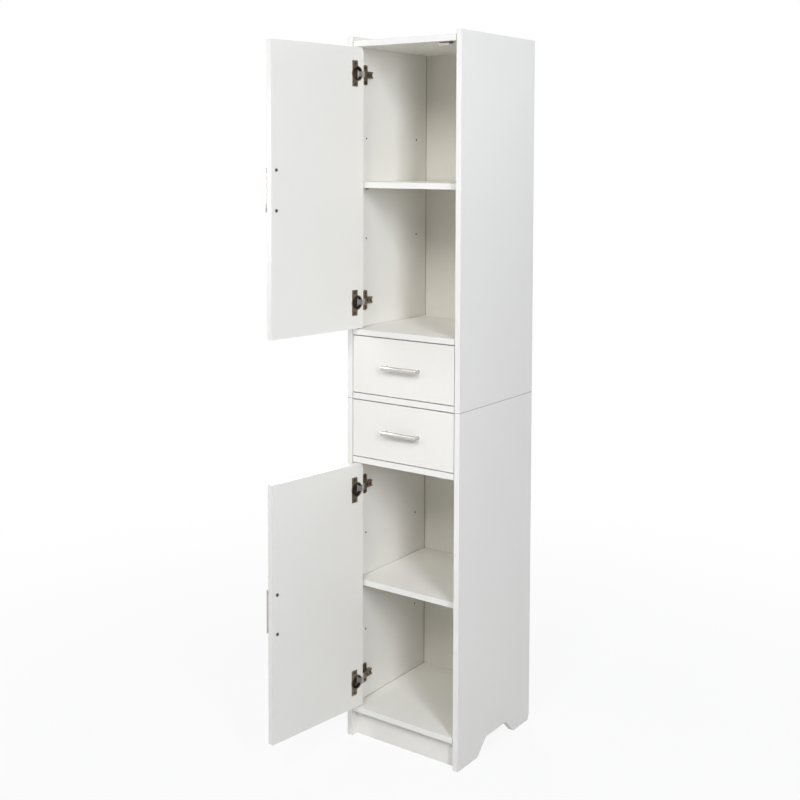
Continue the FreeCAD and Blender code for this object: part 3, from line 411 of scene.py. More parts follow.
def plated(name, colour, roughness, depth=0.012 * MM, clouds=0.15, spots=0.25, metallic=1.0):
    """Plated metal: drawn streaks, a cloudy plate and fine dark spots.

    depth is that of the streaks; clouds and spots say how strong these are.
    """
    finish = Finish(name)
    place = finish.place()
    streak = finish.noise(finish.stretched(place, (1.0, 1.0, 0.12)), 2400.0)
    cloud = finish.noise(place, 160.0, detail=3.0, roughness=0.6)
    spot = finish.ramp(finish.noise(place, 1500.0, detail=1.0), (0.62, 0.75), (0.0, spots))
    plate = finish.toned(cloud, colour, 1 + clouds, 1 - clouds)
    worn = finish.mixed(spot, plate, shade(colour, 0.45))
    rough = roughness + (streak - 0.5) * 0.16 + (cloud - 0.5) * 0.14 + spot * 0.2
    return finish.surface(Base_Color=worn, Metallic=metallic, Roughness=rough,
                          Normal=finish.bump(streak, depth))


def moulded(name, colour, roughness=0.46):
    """Moulded plastic with a fine spark-eroded grain."""
    finish = Finish(name)
    place = finish.place()
    grain = finish.noise(place, 2100.0, roughness=0.6)
    base = finish.toned(finish.noise(place, 60.0), colour, 1.03, 0.95)
    rough = roughness + (grain - 0.5) * 0.18
    return finish.surface(Base_Color=base, Roughness=rough, Normal=finish.bump(grain, 0.02 * MM))


def beech(name):
    """Beech of the dowels, with rays along X."""
    look = bpy.context.scene.cabinet_fittings
    finish = Finish(name)
    place = finish.place()
    ray = finish.noise(
        finish.stretched(place, (0.15, 1.0, 1.0)), 1500.0, detail=3.0, roughness=0.6)
    year = finish.noise(place, 140.0)
    colour = finish.mixed(ray * 0.6 + year * 0.4, opaque(look.beech), opaque(look.ray))
    return finish.surface(Base_Color=colour, Roughness=0.55 + (ray - 0.5) * 0.3,
                          Normal=finish.bump(ray, 0.08 * MM))


# ---------------------------------------------------------------------------
# Mesh building
# ---------------------------------------------------------------------------

MERGE_DISTANCE = 1e-7
SHARP_ANGLE = math.radians(32)


def arc(centre, radius, start, end, steps=8):
    """Points on an arc, angles in degrees."""
    points = []
    for i in range(steps + 1):
        angle = math.radians(start + (end - start) * i / steps)
        points.append((centre[0] + radius * math.cos(angle), centre[1] + radius * math.sin(angle)))
    return points


def rounded_rectangle(low, high, radius, steps=5):
    """The outline of a rectangle between two corners, with rounded corners."""
    (x0, y0), (x1, y1) = low, high
    return (
        arc((x1 - radius, y0 + radius), radius, -90, 0, steps)
        + arc((x1 - radius, y1 - radius), radius, 0, 90, steps)
        + arc((x0 + radius, y1 - radius), radius, 90, 180, steps)
        + arc((x0 + radius, y0 + radius), radius, 180, 270, steps)
    )


def circle(centre, radius, steps=20):
    return arc(centre, radius, 0, 360 - 360 / steps, steps - 1)


def pressed(outline, holes, low, high, edge):
    """A sheet from an outline with holes, from low to high in Z, its edges rounded."""
    curve = bpy.data.curves.new("outline", "CURVE")
    curve.dimensions = "2D"
    curve.fill_mode = "BOTH"
    curve.extrude = (high - low) / 2 - edge
    curve.bevel_depth = edge
    curve.bevel_resolution = 2
    curve.offset = -edge
    for loop in [outline, *holes]:
        spline = curve.splines.new("POLY")
        spline.points.add(len(loop) - 1)
        for point, (x, y) in zip(spline.points, loop):
            point.co = (x, y, 0, 1)
        spline.use_cyclic_u = True
    holder = bpy.data.objects.new("outline", curve)
    mesh = bpy.data.meshes.new_from_object(holder)
    bpy.data.objects.remove(holder)
    bpy.data.curves.remove(curve)
    mesh.transform(Matrix.Translation((0, 0, (low + high) / 2)))
    return mesh


def outward_mesh(name, build):
    """A mesh from a finished bmesh, its faces turned outwards."""
    mesh = bpy.data.meshes.new(name)
    bmesh.ops.recalc_face_normals(build, faces=build.faces)
    build.to_mesh(mesh)
    build.free()
    return mesh


def turned(profile, steps=28, lined=0):
    """A solid of revolution about Z from (radius, height) pairs that start and end on the axis.

    The first steps of the profile, as many as lined says, take the piece's second finish.
    """
    build = bmesh.new()
    rings = []
    for radius, height in profile:
        if radius == 0:
            rings.append([build.verts.new((0, 0, height))])
        else:
            points = circle((0, 0), radius, steps)
            rings.append([build.verts.new((x, y, height)) for x, y in points])
    for step, (low, high) in enumerate(zip(rings, rings[1:])):
        for i in range(steps):
            j = (i + 1) % steps
            corners = (low[i % len(low)], low[j % len(low)],
                       high[j % len(high)], high[i % len(high)])
            unique = list(dict.fromkeys(corners))
            if len(unique) > 2:
                build.faces.new(unique).material_index = int(step < lined)
    return outward_mesh("turned", build)


SCREW_RINGS = 9
SCREW_STEPS = 32
CROWN_DROP = 0.32
CROSS_WIDTH = 0.17
CROSS_LENGTH = 0.62
CROSS_DEPTH = 1.15


def screw_mesh(head, height, shank, length, recess):
    """A pan-head screw along -Z: a crowned head with a cross recess, and its shank.

    head and shank are radii. The recess is deepest in the middle and its arms grow narrower.
    """
    build = bmesh.new()
    steps = SCREW_STEPS
    arm_width = head * CROSS_WIDTH
    arm_length = head * CROSS_LENGTH

    def top(x, y):
        crown = height * (1 - CROWN_DROP * ((x * x + y * y) / head ** 2) ** 2)
        reach = max(abs(x), abs(y))
        width = min(abs(x), abs(y))
        inside = width < arm_width * (1.2 - 0.5 * reach / arm_length) and reach < arm_length
        return crown - (recess * (CROSS_DEPTH - reach / arm_length) if inside else 0)

    centre = build.verts.new((0, 0, height - recess * CROSS_DEPTH))
    loops = []
    for ring in range(1, SCREW_RINGS + 1):
        points = circle((0, 0), head * (ring / SCREW_RINGS) ** 0.9, steps)
        loops.append([build.verts.new((x, y, top(x, y))) for x, y in points])
    for i in range(steps):
        build.faces.new((centre, loops[0][i], loops[0][(i + 1) % steps]))
    for radius, level in ((head, height * 0.3), (head * 0.94, 0), (shank, 0),
                          (shank, -length * 0.9), (shank * 0.4, -length)):
        points = circle((0, 0), radius, steps)
        loops.append([build.verts.new((x, y, level)) for x, y in points])
    for low, high in zip(loops, loops[1:]):
        for i in range(steps):
            j = (i + 1) % steps
            build.faces.new((low[i], low[j], high[j], high[i]))
    build.faces.new(loops[-1])
    return outward_mesh("screw", build)


def in_second_finish(mesh):
    """Give all of a mesh the second finish of its piece."""
    for face in mesh.polygons:
        face.material_index = 1
    return mesh


def joined(name, pieces):
    """One object from (mesh, matrix) pairs, smooth except over sharp edges."""
    mesh = bpy.data.meshes.new(name)
    build = bmesh.new()
    for source, matrix in pieces:
        copy = source.copy()
        copy.transform(matrix)
        build.from_mesh(copy)
        bpy.data.meshes.remove(copy)
    bmesh.ops.remove_doubles(build, verts=build.verts, dist=MERGE_DISTANCE)
    build.to_mesh(mesh)
    build.free()
    thing = bpy.data.objects.new(name, mesh)
    bpy.context.scene.collection.objects.link(thing)
    mesh.shade_smooth()
    mesh.set_sharp_from_angle(angle=SHARP_ANGLE)
    return thing


def turn(mapping):
    """A rotation that takes X, Y and Z of a drawing to three directions."""
    return Matrix([Vector(direction) for direction in mapping]).transposed().to_4x4()


# Where the X, Y and Z of a drawing point on the piece that is made from it.
XZ_BACK = turn(((1, 0, 0), (0, 0, 1), (0, -1, 0)))
YZ_RIGHT = turn(((0, 1, 0), (0, 0, 1), (1, 0, 0)))
TO_RIGHT = turn(((0, 1, 0), (0, 0, -1), (-1, 0, 0)))
TO_FRONT = turn(((1, 0, 0), (0, 0, -1), (0, 1, 0)))


def at(x, y, z):
    return Matrix.Translation((x, y, z))


def carried(thing, body, finishes, slot, *nodes):
    """Finish a new piece and let it stand for its CAD nodes on their body."""
    for finish in finishes:
        thing.data.materials.append(finish)
    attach(thing, body)
    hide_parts(*nodes)
    return thing


def dressed(names, finish):
    """Give CAD nodes that stay in the scene their finish."""
    for name in names:
        materials = frame["nodes"][name].data.materials
        materials.clear()
        materials.append(finish)


def hinge_levels(unit):
    """Heights of the two hinges of a door."""
    low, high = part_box(f"{unit}_door_panel")
    return (high.z - HINGE_FROM_END, low.z + HINGE_FROM_END)


def on_cabinet(unit, level):
    """From hinge coordinates to the row frame, for what is fixed to the side panel."""
    axis = AXIS[f"{unit}_door"]
    return at(axis.x, axis.y, level)


def on_door(unit, level):
    """From hinge coordinates to the row frame, for what is fixed to the open door."""
    return on_cabinet(unit, level) @ Matrix.Rotation(DOOR_REST, 4, "Z")


# ---------------------------------------------------------------------------
# Pieces
# ---------------------------------------------------------------------------

UPRIGHT = ("upper_left_side", "upper_right_side", "lower_left_side", "lower_right_side")
LEVEL = ("top_panel", "upper_floor_panel", "upper_bottom_panel", "lower_divider_panel",
         "lower_floor_panel", "upper_shelf", "lower_shelf")


class CABINET_OT_boards(bpy.types.Operator):
    """Finish the carcass boards, shelves, doors and drawer fronts in white melamine"""

    bl_idname = "cabinet.boards"
    bl_label = "Boards"

    def execute(self, context):
        look = context.scene.cabinet_boards
        dressed(UPRIGHT, melamine("melamine_upright", "x", joint=unit_seam_shade, holes=True))
        dressed(LEVEL, melamine("melamine_level", "z", joint=end_joint_shade))
        dressed(["rear_rail"], melamine("melamine_rail", "y"))
        # Painted warm shade of the gaps round the drawers, laid on the fronts' edges.
        fronts = melamine("melamine_drawer_front", "y", band=look.drawer_gap_shade)
        dressed(["upper_drawer_front", "lower_drawer_front"], fronts)
        dressed(["plinth_board"], melamine("melamine_plinth", "y", joint=plinth_joint_shade))
        for unit in UNITS:
            door = melamine(f"melamine_{unit}_door", "y", door_body=f"{unit}_door")
            dressed([f"{unit}_door_panel"], door)
        dressed(["upper_back_board", "lower_back_board"], hardboard("hardboard_back"))
        return {"FINISHED"}


class CABINET_OT_drawer_boxes(bpy.types.Operator):
    """Finish the sides, backs and bottoms of the drawers"""

    bl_idname = "cabinet.drawer_boxes"
    bl_label = "Drawer boxes"

    def execute(self, context):
        sides = melamine("melamine_box_side", "x", BOX_BOARD)
        backs = melamine("melamine_box_back", "y", BOX_BOARD)
        bottoms = hardboard("hardboard_bottom")
        for unit in UNITS:
            dressed([f"{unit}_drawer_left_side", f"{unit}_drawer_right_side"], sides)
            dressed([f"{unit}_drawer_back"], backs)
            dressed([f"{unit}_drawer_bottom"], bottoms)
        return {"FINISHED"}


# The cup and its flange. The flange's plate has two edges in X and a reach up and down;
# its two screws have an X and a distance up and down.
CUP_CENTRE = 12.5 * MM
CUP_RADIUS = 17.5 * MM
CUP_DEPTH = 12.4 * MM
CUP_FLANGE = 1.2 * MM
CUP_WALL = 1 * MM
CUP_FLOOR = 0.8 * MM
CUP_LIP = 1.2 * MM
FLANGE_RIM = 1.5 * MM
EAR = (11 * MM, 30 * MM, 32.5 * MM)
EAR_CORNER = 1.8 * MM
EAR_SCREW = (20.5 * MM, 26 * MM)
SCREW_HOLE = 1.6 * MM
LUG_RADIUS = 1.8 * MM
LUG_THICKNESS = 2.7 * MM
LUG_LEVELS = (-10.2 * MM, 7.5 * MM)
PIN_RADIUS = 1.1 * MM
PIN_LENGTH = 22 * MM
PIN_PLAY = 0.05 * MM


def flange_outline():
    """The flange of a hinge cup: a disc with a long plate behind it, corners rounded."""
    left, right, reach = EAR
    radius = CUP_RADIUS + FLANGE_RIM
    left_angle = math.degrees(math.acos((left - CUP_CENTRE) / radius))
    right_angle = math.degrees(math.acos((right - CUP_CENTRE) / radius))
    corner = EAR_CORNER
    disc = (CUP_CENTRE, 0)
    return (
        arc(disc, radius, -right_angle, right_angle, 6)
        + arc((right - corner, reach - corner), corner, 0, 90)
        + arc((left + corner, reach - corner), corner, 90, 180)
        + arc(disc, radius, left_angle, 360 - left_angle, 26)
        + arc((left + corner, corner - reach), corner, 180, 270)
        + arc((right - corner, corner - reach), corner, 270, 360)
    )


def hinge_cup(edge):
    """Meshes of one hinge cup in hinge coordinates, on the closed door."""
    x, z = EAR_SCREW
    holes = [circle((CUP_CENTRE, 0), CUP_RADIUS - CUP_LIP, 40),
             circle((x, z), SCREW_HOLE), circle((x, -z), SCREW_HOLE)]
    flange = pressed(flange_outline(), holes, -DOOR_BACK - CUP_FLANGE, -DOOR_BACK, edge)
    inner = CUP_RADIUS - CUP_WALL
    rim = CUP_FLANGE * 0.75
    floor = CUP_FLOOR - CUP_DEPTH
    # Out over the floor, up the inside, over the rim and down the outside. The floor and the
    # inside, the first five steps, take the painted shade of the cup's hollow.
    bowl = turned([
        (0, floor), (inner * 0.55, floor), (inner - 2.5 * MM, floor + 0.2 * MM),
        (inner - 0.5 * MM, floor + 2 * MM), (inner, floor + 4 * MM), (inner, rim * 0.5),
        (inner + 0.4 * MM, rim), (CUP_RADIUS, rim), (CUP_RADIUS, -CUP_DEPTH + 2 * MM),
        (CUP_RADIUS - 0.6 * MM, -CUP_DEPTH + 0.5 * MM), (CUP_RADIUS - 2 * MM, -CUP_DEPTH),
        (0, -CUP_DEPTH)], steps=44, lined=5)
    lug = pressed(
        arc((0, 0.4 * MM), LUG_RADIUS, 0, 180, 10)
        + [(-LUG_RADIUS, -2.2 * MM), (1.2 * MM, -3 * MM), (3 * MM, -3 * MM)],
        [], 0, LUG_THICKNESS, edge * 0.8)
    lugs = [(lug, at(0, 0, level)) for level in LUG_LEVELS]
    return [(flange, XZ_BACK), (bowl, at(CUP_CENTRE, DOOR_BACK, 0) @ TO_FRONT), *lugs]


# The arm: radius of its neck, sheet, half its width at the neck, and the channel's two ends
# and half width. Adjusting screws and slots are placed along the channel.
NECK = 14.5 * MM
SHEET = 2 * MM
ARM_HALF = 6.5 * MM
CHANNEL = (30 * MM, 64 * MM, 8.5 * MM)
CHANNEL_WALL = 1.2 * MM
CHANNEL_CORNER = 2 * MM
ADJUSTING = (42 * MM, 56 * MM)
SLOT_HALF = 2.2 * MM
SLOT_REACH = 3.2 * MM


def hinge_arm(edge):
    """Meshes of one arm: knuckle, cranked neck and slotted channel."""
    half = SHEET / 2
    outer = NECK + SHEET
    # Round the pin, along the outside of the neck to the channel, and back along its inside.
    crank = (
        arc((0, 0), half + PIN_RADIUS, 28, 332, 14)
        + [(NECK, -half)]
        + arc((NECK + half, 0), half, -90, 0, 3)
        + arc((0, 0), outer, 4, 92, 12)
        + [(-half * 1.02, outer), (-half, CHANNEL[0] + SHEET), (-half - SHEET, CHANNEL[0] + SHEET)]
        + [(-half - SHEET, NECK + half)]
        + arc((0, 0), NECK, 96, 6, 12)
        + [(NECK - half, half)]
    )
    eye = circle((0, 0), PIN_RADIUS + PIN_PLAY, 14)
    # The neck takes the pale steel, partly painted sheen.
    neck = in_second_finish(pressed(crank, [eye], -ARM_HALF, ARM_HALF, edge))
    start, end, reach = CHANNEL
    front_screw, rear_screw = ADJUSTING
    slot = SLOT_HALF
    corner = CHANNEL_CORNER
    closed_slot = rounded_rectangle(
        (front_screw - SLOT_REACH, -slot), (front_screw + SLOT_REACH, slot), slot * 0.95, 4)
    # The outline runs in at the rear end, round the open slot of the rear screw.
    roof_outline = (
        arc((end - corner, -reach + corner), corner, -90, 0, 4)
        + [(end, -slot * 1.6)]
        + arc((rear_screw, 0), slot, 270, 90, 6)
        + [(end, slot * 1.6)]
        + arc((end - corner, reach - corner), corner, 0, 90, 4)
        + [(start + 6 * MM, reach), (start, ARM_HALF), (start, -ARM_HALF),
           (start + 6 * MM, -reach)]
    )
    roof = pressed(roof_outline, [closed_slot], -half - SHEET * 0.6, -half, edge)
    wall_low = (SIDE_FACE + 2.4 * MM, start + 5 * MM)
    wall_high = (-half - edge, end - 1 * MM)
    wall = pressed(rounded_rectangle(wall_low, wall_high, 1 * MM, 3), [],
                   -CHANNEL_WALL / 2, CHANNEL_WALL / 2, edge)
    shift = reach - CHANNEL_WALL / 2
    walls = [(wall, at(0, 0, shift)), (wall, at(0, 0, -shift))]
    return [(neck, Matrix()), (roof, YZ_RIGHT), *walls]


# The mounting plate on the side panel: its middle in Y, wings (width and reach up and down),
# ridge under the arm and rib, each with half sizes.
PLATE_MIDDLE = 45 * MM
WING = (16 * MM, 25.5 * MM)
PLATE_SHEET = 2 * MM
PLATE_SCREW = 19 * MM
RIDGE_HALF = 6.8 * MM
RIDGE_HOLE = 2 * MM
RIB_HALF = (5 * MM, 13 * MM)
RIB_HEIGHT = 3 * MM


def hinge_plate(edge):
    """Meshes of one mounting plate: wings on the side panel and a ridge under the arm."""
    half_width, reach = WING[0] / 2, WING[1]
    low = (PLATE_MIDDLE - half_width, -reach)
    high = (PLATE_MIDDLE + half_width, reach)
    screw_holes = [circle((PLATE_MIDDLE, side * PLATE_SCREW), SCREW_HOLE) for side in (-1, 1)]
    wings = pressed(rounded_rectangle(low, high, 5 * MM), screw_holes,
                    SIDE_FACE, SIDE_FACE + PLATE_SHEET, edge)
    start, end, _ = CHANNEL
    ridge = pressed(
        rounded_rectangle((start + 1 * MM, -RIDGE_HALF), (end - 1 * MM, RIDGE_HALF), 1.5 * MM),
        [circle((y, 0), RIDGE_HOLE) for y in ADJUSTING], SIDE_FACE, -SHEET * 1.5, edge)
    rib_half, rib_reach = RIB_HALF
    rib_low = (PLATE_MIDDLE - rib_half, -rib_reach)
    rib_high = (PLATE_MIDDLE + rib_half, rib_reach)
    rib = pressed(rounded_rectangle(rib_low, rib_high, 3 * MM), [],
                  SIDE_FACE, SIDE_FACE + RIB_HEIGHT, edge)
    return [(wings, YZ_RIGHT), (ridge, YZ_RIGHT), (rib, YZ_RIGHT)]


def placed(meshes, matrix):
    """(mesh, matrix) pairs moved together."""
    return [(mesh, matrix @ local) for mesh, local in meshes]


class CABINET_OT_hinges(bpy.types.Operator):
    """Build the pressed cups, arms, plates and pins of the four concealed hinges"""

    bl_idname = "cabinet.hinges"
    bl_label = "Hinges"

    def execute(self, context):
        edge = context.scene.cabinet_sizes.sheet_edge
        metals = context.scene.cabinet_metals
        nickel = plated("dark_nickel", metals.nickel, 0.34)
        # Painted shade for the hollow of the cups.
        inside_shade = plated("cup_lining", metals.inside_shade, 0.42)
        # Necks and pins: paler steel, partly painted sheen.
        steel = plated("arm_steel", metals.arm, 0.4, depth=0.004 * MM, spots=0.1, metallic=0.5)
        cup = hinge_cup(edge)
        arm = hinge_arm(edge)
        plate = hinge_plate(edge)
        half = PIN_LENGTH / 2
        pin = turned([(0, -half), (PIN_RADIUS, -half), (PIN_RADIUS, half), (0, half)], steps=16)
        for unit in UNITS:
            levels = hinge_levels(unit)
            for label, meshes, body, place, finishes in (
                ("hinge_cups", cup, f"{unit}_door", on_door, (nickel, inside_shade)),
                ("hinge_arms", arm, "cabinet", on_cabinet, (nickel, steel)),
                ("hinge_plates", plate, "cabinet", on_cabinet, (nickel,)),
                ("hinge_pins", [(pin, Matrix())], f"{unit}_door", on_door, (steel,)),
            ):
                pieces = [piece for level in levels
                          for piece in placed(meshes, place(unit, level))]
                carried(joined(f"{unit}_{label}_pressed", pieces), body, finishes, "hinge_steel",
                        f"{unit}_{label}")
        return {"FINISHED"}


# Radius and height of the heads, radius and length of the shanks.
SMALL_HEAD = (3.4 * MM, 1.6 * MM)
SMALL_SHANK = (1.5 * MM, 11 * MM)
SET_SHANK = (2 * MM, 7.5 * MM)
HANDLE_HEAD = (4 * MM, 2.4 * MM)
HANDLE_SHANK = (2 * MM, 23 * MM)


class CABINET_OT_screws(bpy.types.Operator):
    """Build the cross-recessed screws of the hinges and handles, and finish those of the runners
    and catches
    """

    bl_idname = "cabinet.screws"
    bl_label = "Screws"

    def execute(self, context):
        recess = context.scene.cabinet_sizes.recess
        dark = plated("dark_screw", context.scene.cabinet_metals.screw, 0.38, depth=0.006 * MM)
        small = screw_mesh(*SMALL_HEAD, *SMALL_SHANK, recess)
        setting = screw_mesh(*SMALL_HEAD, *SET_SHANK, recess)
        handle = screw_mesh(*HANDLE_HEAD, *HANDLE_SHANK, recess)
        x, z = EAR_SCREW
        plate_screws = []
        adjusting = []
        for unit in UNITS:
            cup_screws = []
            for level in hinge_levels(unit):
                base = on_cabinet(unit, level)
                for side in (-1, 1):
                    spot = at(SIDE_FACE + PLATE_SHEET, PLATE_MIDDLE, side * PLATE_SCREW)
                    plate_screws.append((small, base @ spot @ YZ_RIGHT))
                    seat = at(x, DOOR_BACK + CUP_FLANGE, side * z)
                    cup_screws.append((small, on_door(unit, level) @ seat @ TO_FRONT))
                for y in ADJUSTING:
                    adjusting.append((setting, base @ at(-SHEET / 2, y, 0) @ YZ_RIGHT))
            carried(joined(f"{unit}_hinge_cup_screws_crossed", cup_screws), f"{unit}_door", [dark],
                    "screw_steel", f"{unit}_hinge_cup_screws")
            for carrier in ("door", "drawer"):
                node = f"{unit}_{carrier}_handle_screws"
                places = handle_screw_places(unit, carrier)
                carried(joined(f"{node}_crossed", [(handle, place) for place in places]),
                        f"{unit}_{carrier}", [dark], "screw_steel", node)
        for name, screws in (("hinge_plate_screws", plate_screws),
                             ("hinge_adjusting_screws", adjusting)):
            carried(joined(f"{name}_crossed", screws), "cabinet", [dark], "screw_steel", name)
        dressed(["runner_screws", "catch_screws"], dark)
        return {"FINISHED"}


HANDLE_HALF = 48 * MM
HANDLE_FROM_AXIS = 281 * MM


def handle_middle(unit, carrier):
    """From handle coordinates, Y to the back and Z along an upright bar, to the row frame."""
    if carrier == "door":
        low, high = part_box(f"{unit}_door_panel")
        return on_door(unit, (low.z + high.z) / 2) @ at(HANDLE_FROM_AXIS, DOOR_FRONT, 0)
    low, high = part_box(f"{unit}_drawer_front")
    return at(0, low.y, (low.z + high.z) / 2) @ Matrix.Rotation(math.pi / 2, 4, "Y")


def handle_screw_places(unit, carrier):
    """Where the two screws of a handle sit, on the inner face of its board."""
    middle = handle_middle(unit, carrier)
    return [middle @ at(0, BOARD, side * HANDLE_HALF) @ TO_FRONT for side in (-1, 1)]


BAR_LENGTH = 106 * MM
BAR_REACH = 20 * MM
BAR_DEPTH = 6.5 * MM
BAR_HALF_HEIGHT = 6 * MM
BAR_ROUND = 4.5 * MM
BAR_BACK_ROUND = 0.8 * MM
POST_RADIUS = 4.5 * MM
FOOT_HEIGHT = 1.5 * MM


def handle_meshes(edge):
    """Meshes of one handle: a bar with a rounded front, on two posts with feet."""
    front = -BAR_REACH
    back = front + BAR_DEPTH
    side = BAR_HALF_HEIGHT
    section = (
        arc((-side + BAR_ROUND, front + BAR_ROUND), BAR_ROUND, 180, 270, 10)
        + arc((side - BAR_ROUND, front + BAR_ROUND), BAR_ROUND, 270, 360, 10)
        + arc((side - BAR_BACK_ROUND, back - BAR_BACK_ROUND), BAR_BACK_ROUND, 0, 90, 3)
        + arc((-side + BAR_BACK_ROUND, back - BAR_BACK_ROUND), BAR_BACK_ROUND, 90, 180, 3)
    )
    bar = pressed(section, [], -BAR_LENGTH / 2, BAR_LENGTH / 2, edge)
    reach = BAR_REACH - BAR_DEPTH / 2
    foot = POST_RADIUS + 1 * MM
    post = turned([
        (0, 0), (foot, 0), (foot, FOOT_HEIGHT * 0.6), (foot - 0.4 * MM, FOOT_HEIGHT),
        (POST_RADIUS, FOOT_HEIGHT + 0.2 * MM), (POST_RADIUS * 0.94, reach * 0.5),
        (POST_RADIUS, reach), (0, reach)])
    posts = [(post, at(0, 0, side * HANDLE_HALF) @ XZ_BACK) for side in (-1, 1)]
    return [(bar, Matrix()), *posts]


class CABINET_OT_handles(bpy.types.Operator):
    """Build the four bar handles"""

    bl_idname = "cabinet.handles"
    bl_label = "Handles"

    def execute(self, context):
        satin = plated("satin_steel", context.scene.cabinet_metals.bar, 0.17,
                       depth=0.003 * MM, clouds=0.04, spots=0.04)
        meshes = handle_meshes(context.scene.cabinet_sizes.bar_edge)
        for unit in UNITS:
            for carrier in ("door", "drawer"):
                node = f"{unit}_{carrier}_handle"
                pieces = placed(meshes, handle_middle(unit, carrier))
                carried(joined(f"{node}_bar", pieces), f"{unit}_{carrier}", [satin],
                        "handle_metal", node)
        return {"FINISHED"}


# Radii and heights of a shelf pin in millimetres, from its end in the hole to its free end,
# and the rows of holes: the front one from the panel's front edge, and the step to the rear one.
SHELF_PIN = ((0, -9), (2.2, -9), (2.5, -8.6), (2.5, 0), (3.6, 0), (3.75, 0.15), (3.75, 0.65),
             (3.5, 0.8), (2.5, 0.9), (2.5, 7.4), (2, 8), (0, 8))
PIN_ROW_FRONT = 57 * MM
PIN_ROW_STEP = 224 * MM


class CABINET_OT_shelf_pins(bpy.types.Operator):
    """Build the turned pins under the shelves"""

    bl_idname = "cabinet.shelf_pins"
    bl_label = "Shelf pins"

    def execute(self, context):
        bright = plated("pin_nickel", context.scene.cabinet_metals.pin, 0.3)
        pin = turned([(radius * MM, height * MM) for radius, height in SHELF_PIN], steps=20)
        flip = Matrix.Rotation(math.pi, 4, "X")
        for unit in UNITS:
            left_low, left_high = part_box(f"{unit}_left_side")
            right_low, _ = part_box(f"{unit}_right_side")
            low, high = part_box(f"{unit}_shelf_pins")
            level = (low.z + high.z) / 2
            front = left_low.y + PIN_ROW_FRONT
            pieces = [(pin, at(x, y, level) @ towards @ flip)
                      for x, towards in ((left_high.x, TO_RIGHT), (right_low.x, YZ_RIGHT))
                      for y in (front, front + PIN_ROW_STEP)]
            carried(joined(f"{unit}_shelf_pins_turned", pieces), "cabinet", [bright], "pin_steel",
                    f"{unit}_shelf_pins")
        return {"FINISHED"}


# A catch: thickness of its base, length and drop of its housing, and its screw's place.
CATCH_LENGTH = 38 * MM
CATCH_BASE = 2 * MM
CATCH_HOUSING = (27 * MM, 6 * MM)
CATCH_DEPTH = 12 * MM
CATCH_SCREW = (33 * MM, 6 * MM)
NOSE = 2.4 * MM


def catch_meshes():
    """Meshes of one catch, hung from its left rear corner: base, housing and spring nose."""
    length, drop = CATCH_HOUSING
    screw = circle((CATCH_SCREW[0], -CATCH_SCREW[1]), 2 * MM, 14)
    base = pressed(rounded_rectangle((0, -CATCH_DEPTH), (CATCH_LENGTH, 0), 2 * MM), [screw],
                   -CATCH_BASE, 0, 0.3 * MM)
    housing = pressed(rounded_rectangle((0, -CATCH_DEPTH), (length, 0), 1.6 * MM), [],
                      -CATCH_BASE - drop, -CATCH_BASE, 0.8 * MM)
    nose = turned([(0, -1.5 * MM), (NOSE, -1.5 * MM), (NOSE, 0.4 * MM), (NOSE * 0.9, 1.3 * MM),
                   (NOSE * 0.6, 2 * MM), (0, NOSE)], steps=20)
    nose_place = at(length / 2, -CATCH_DEPTH, -CATCH_BASE - drop / 2) @ TO_FRONT
    # The base takes the second finish, the near-black one that is partly painted shade.
    return [(in_second_finish(base), Matrix()), (housing, Matrix()), (nose, nose_place)]


class CABINET_OT_catches(bpy.types.Operator):
    """Build the door catches: a base, near-black partly with painted shade, and a pale housing
    with a rounded nose
    """

    bl_idname = "cabinet.catches"
    bl_label = "Catches"

    def execute(self, context):
        look = context.scene.cabinet_fittings
        pale = moulded("catch_housing", look.housing, roughness=0.4)
        # Near-black base: partly dark plastic, partly painted shade.
        dark = moulded("catch_base", look.base)
        meshes = catch_meshes()
        for unit in UNITS:
            node = f"{unit}_door_catch"
            low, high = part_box(node)
            pieces = placed(meshes, at(low.x, high.y, high.z))
            carried(joined(f"{node}_moulded", pieces), "cabinet", [pale, dark],
                    "moulded_plastic", node)
        return {"FINISHED"}


class CABINET_OT_inner_fittings(bpy.types.Operator):
    """Finish the runners, dowels and cam fittings"""

    bl_idname = "cabinet.inner_fittings"
    bl_label = "Runners, dowels and cams"

    def execute(self, context):
        look = context.scene.cabinet_fittings
        dressed(["upper_drawer_runners", "lower_drawer_runners"],
                moulded("runner_plastic", look.runner))
        dressed(["carcass_dowels", "unit_dowels", "upper_drawer_dowels", "lower_drawer_dowels"],
                beech("beech_dowel"))
        dressed(["cam_fittings"], plated("cast_zinc", look.zinc, 0.5, spots=0.5))
        return {"FINISHED"}


# ---------------------------------------------------------------------------
# Stage: floor, lamps, world and camera
# ---------------------------------------------------------------------------

CAMERA_PLACE = (1.7196, -2.4405, 1.4897)
CAMERA_TURN = 0.62113
CAMERA_DIP = 0.055
CAMERA_ROLL = 0.00317
CAMERA_LENS = 54.31
CAMERA_SHIFT = -0.2166
LAMP_AIM = Vector((0, 0, 0.95))

# The floor: half its size, and how it goes from partly to plain white away from the cabinet.
FLOOR_HALF = 12.0
FLOOR_FADE, FLOOR_WHITE = (0.6, 2.4), (0.9, 1.0)

# Name, degrees to the right of the front, distance, height, size and colour.
LAMPS = (
    ("key", 55, 3.0, 2.2, (0.6, 1.9), (0.88, 0.912, 1.0)),
    ("front", 14, 4.5, 4.4, (1.3, 2.0), (0.97, 0.965, 0.975)),
    ("left", -50, 1.6, 1.42, (0.35, 0.45), (0.96, 0.948, 0.98)),
    ("reflector", -32, 3.0, 2.2, (1.2, 1.5), (0.95, 0.948, 1.0)),
    ("rear_left", -142, 3.0, 2.0, (1.2, 1.2), (0.99, 0.988, 1.0)),
    ("rear_right", 145, 3.0, 2.0, (1.2, 1.2), (0.865, 0.93, 1.0)),
)


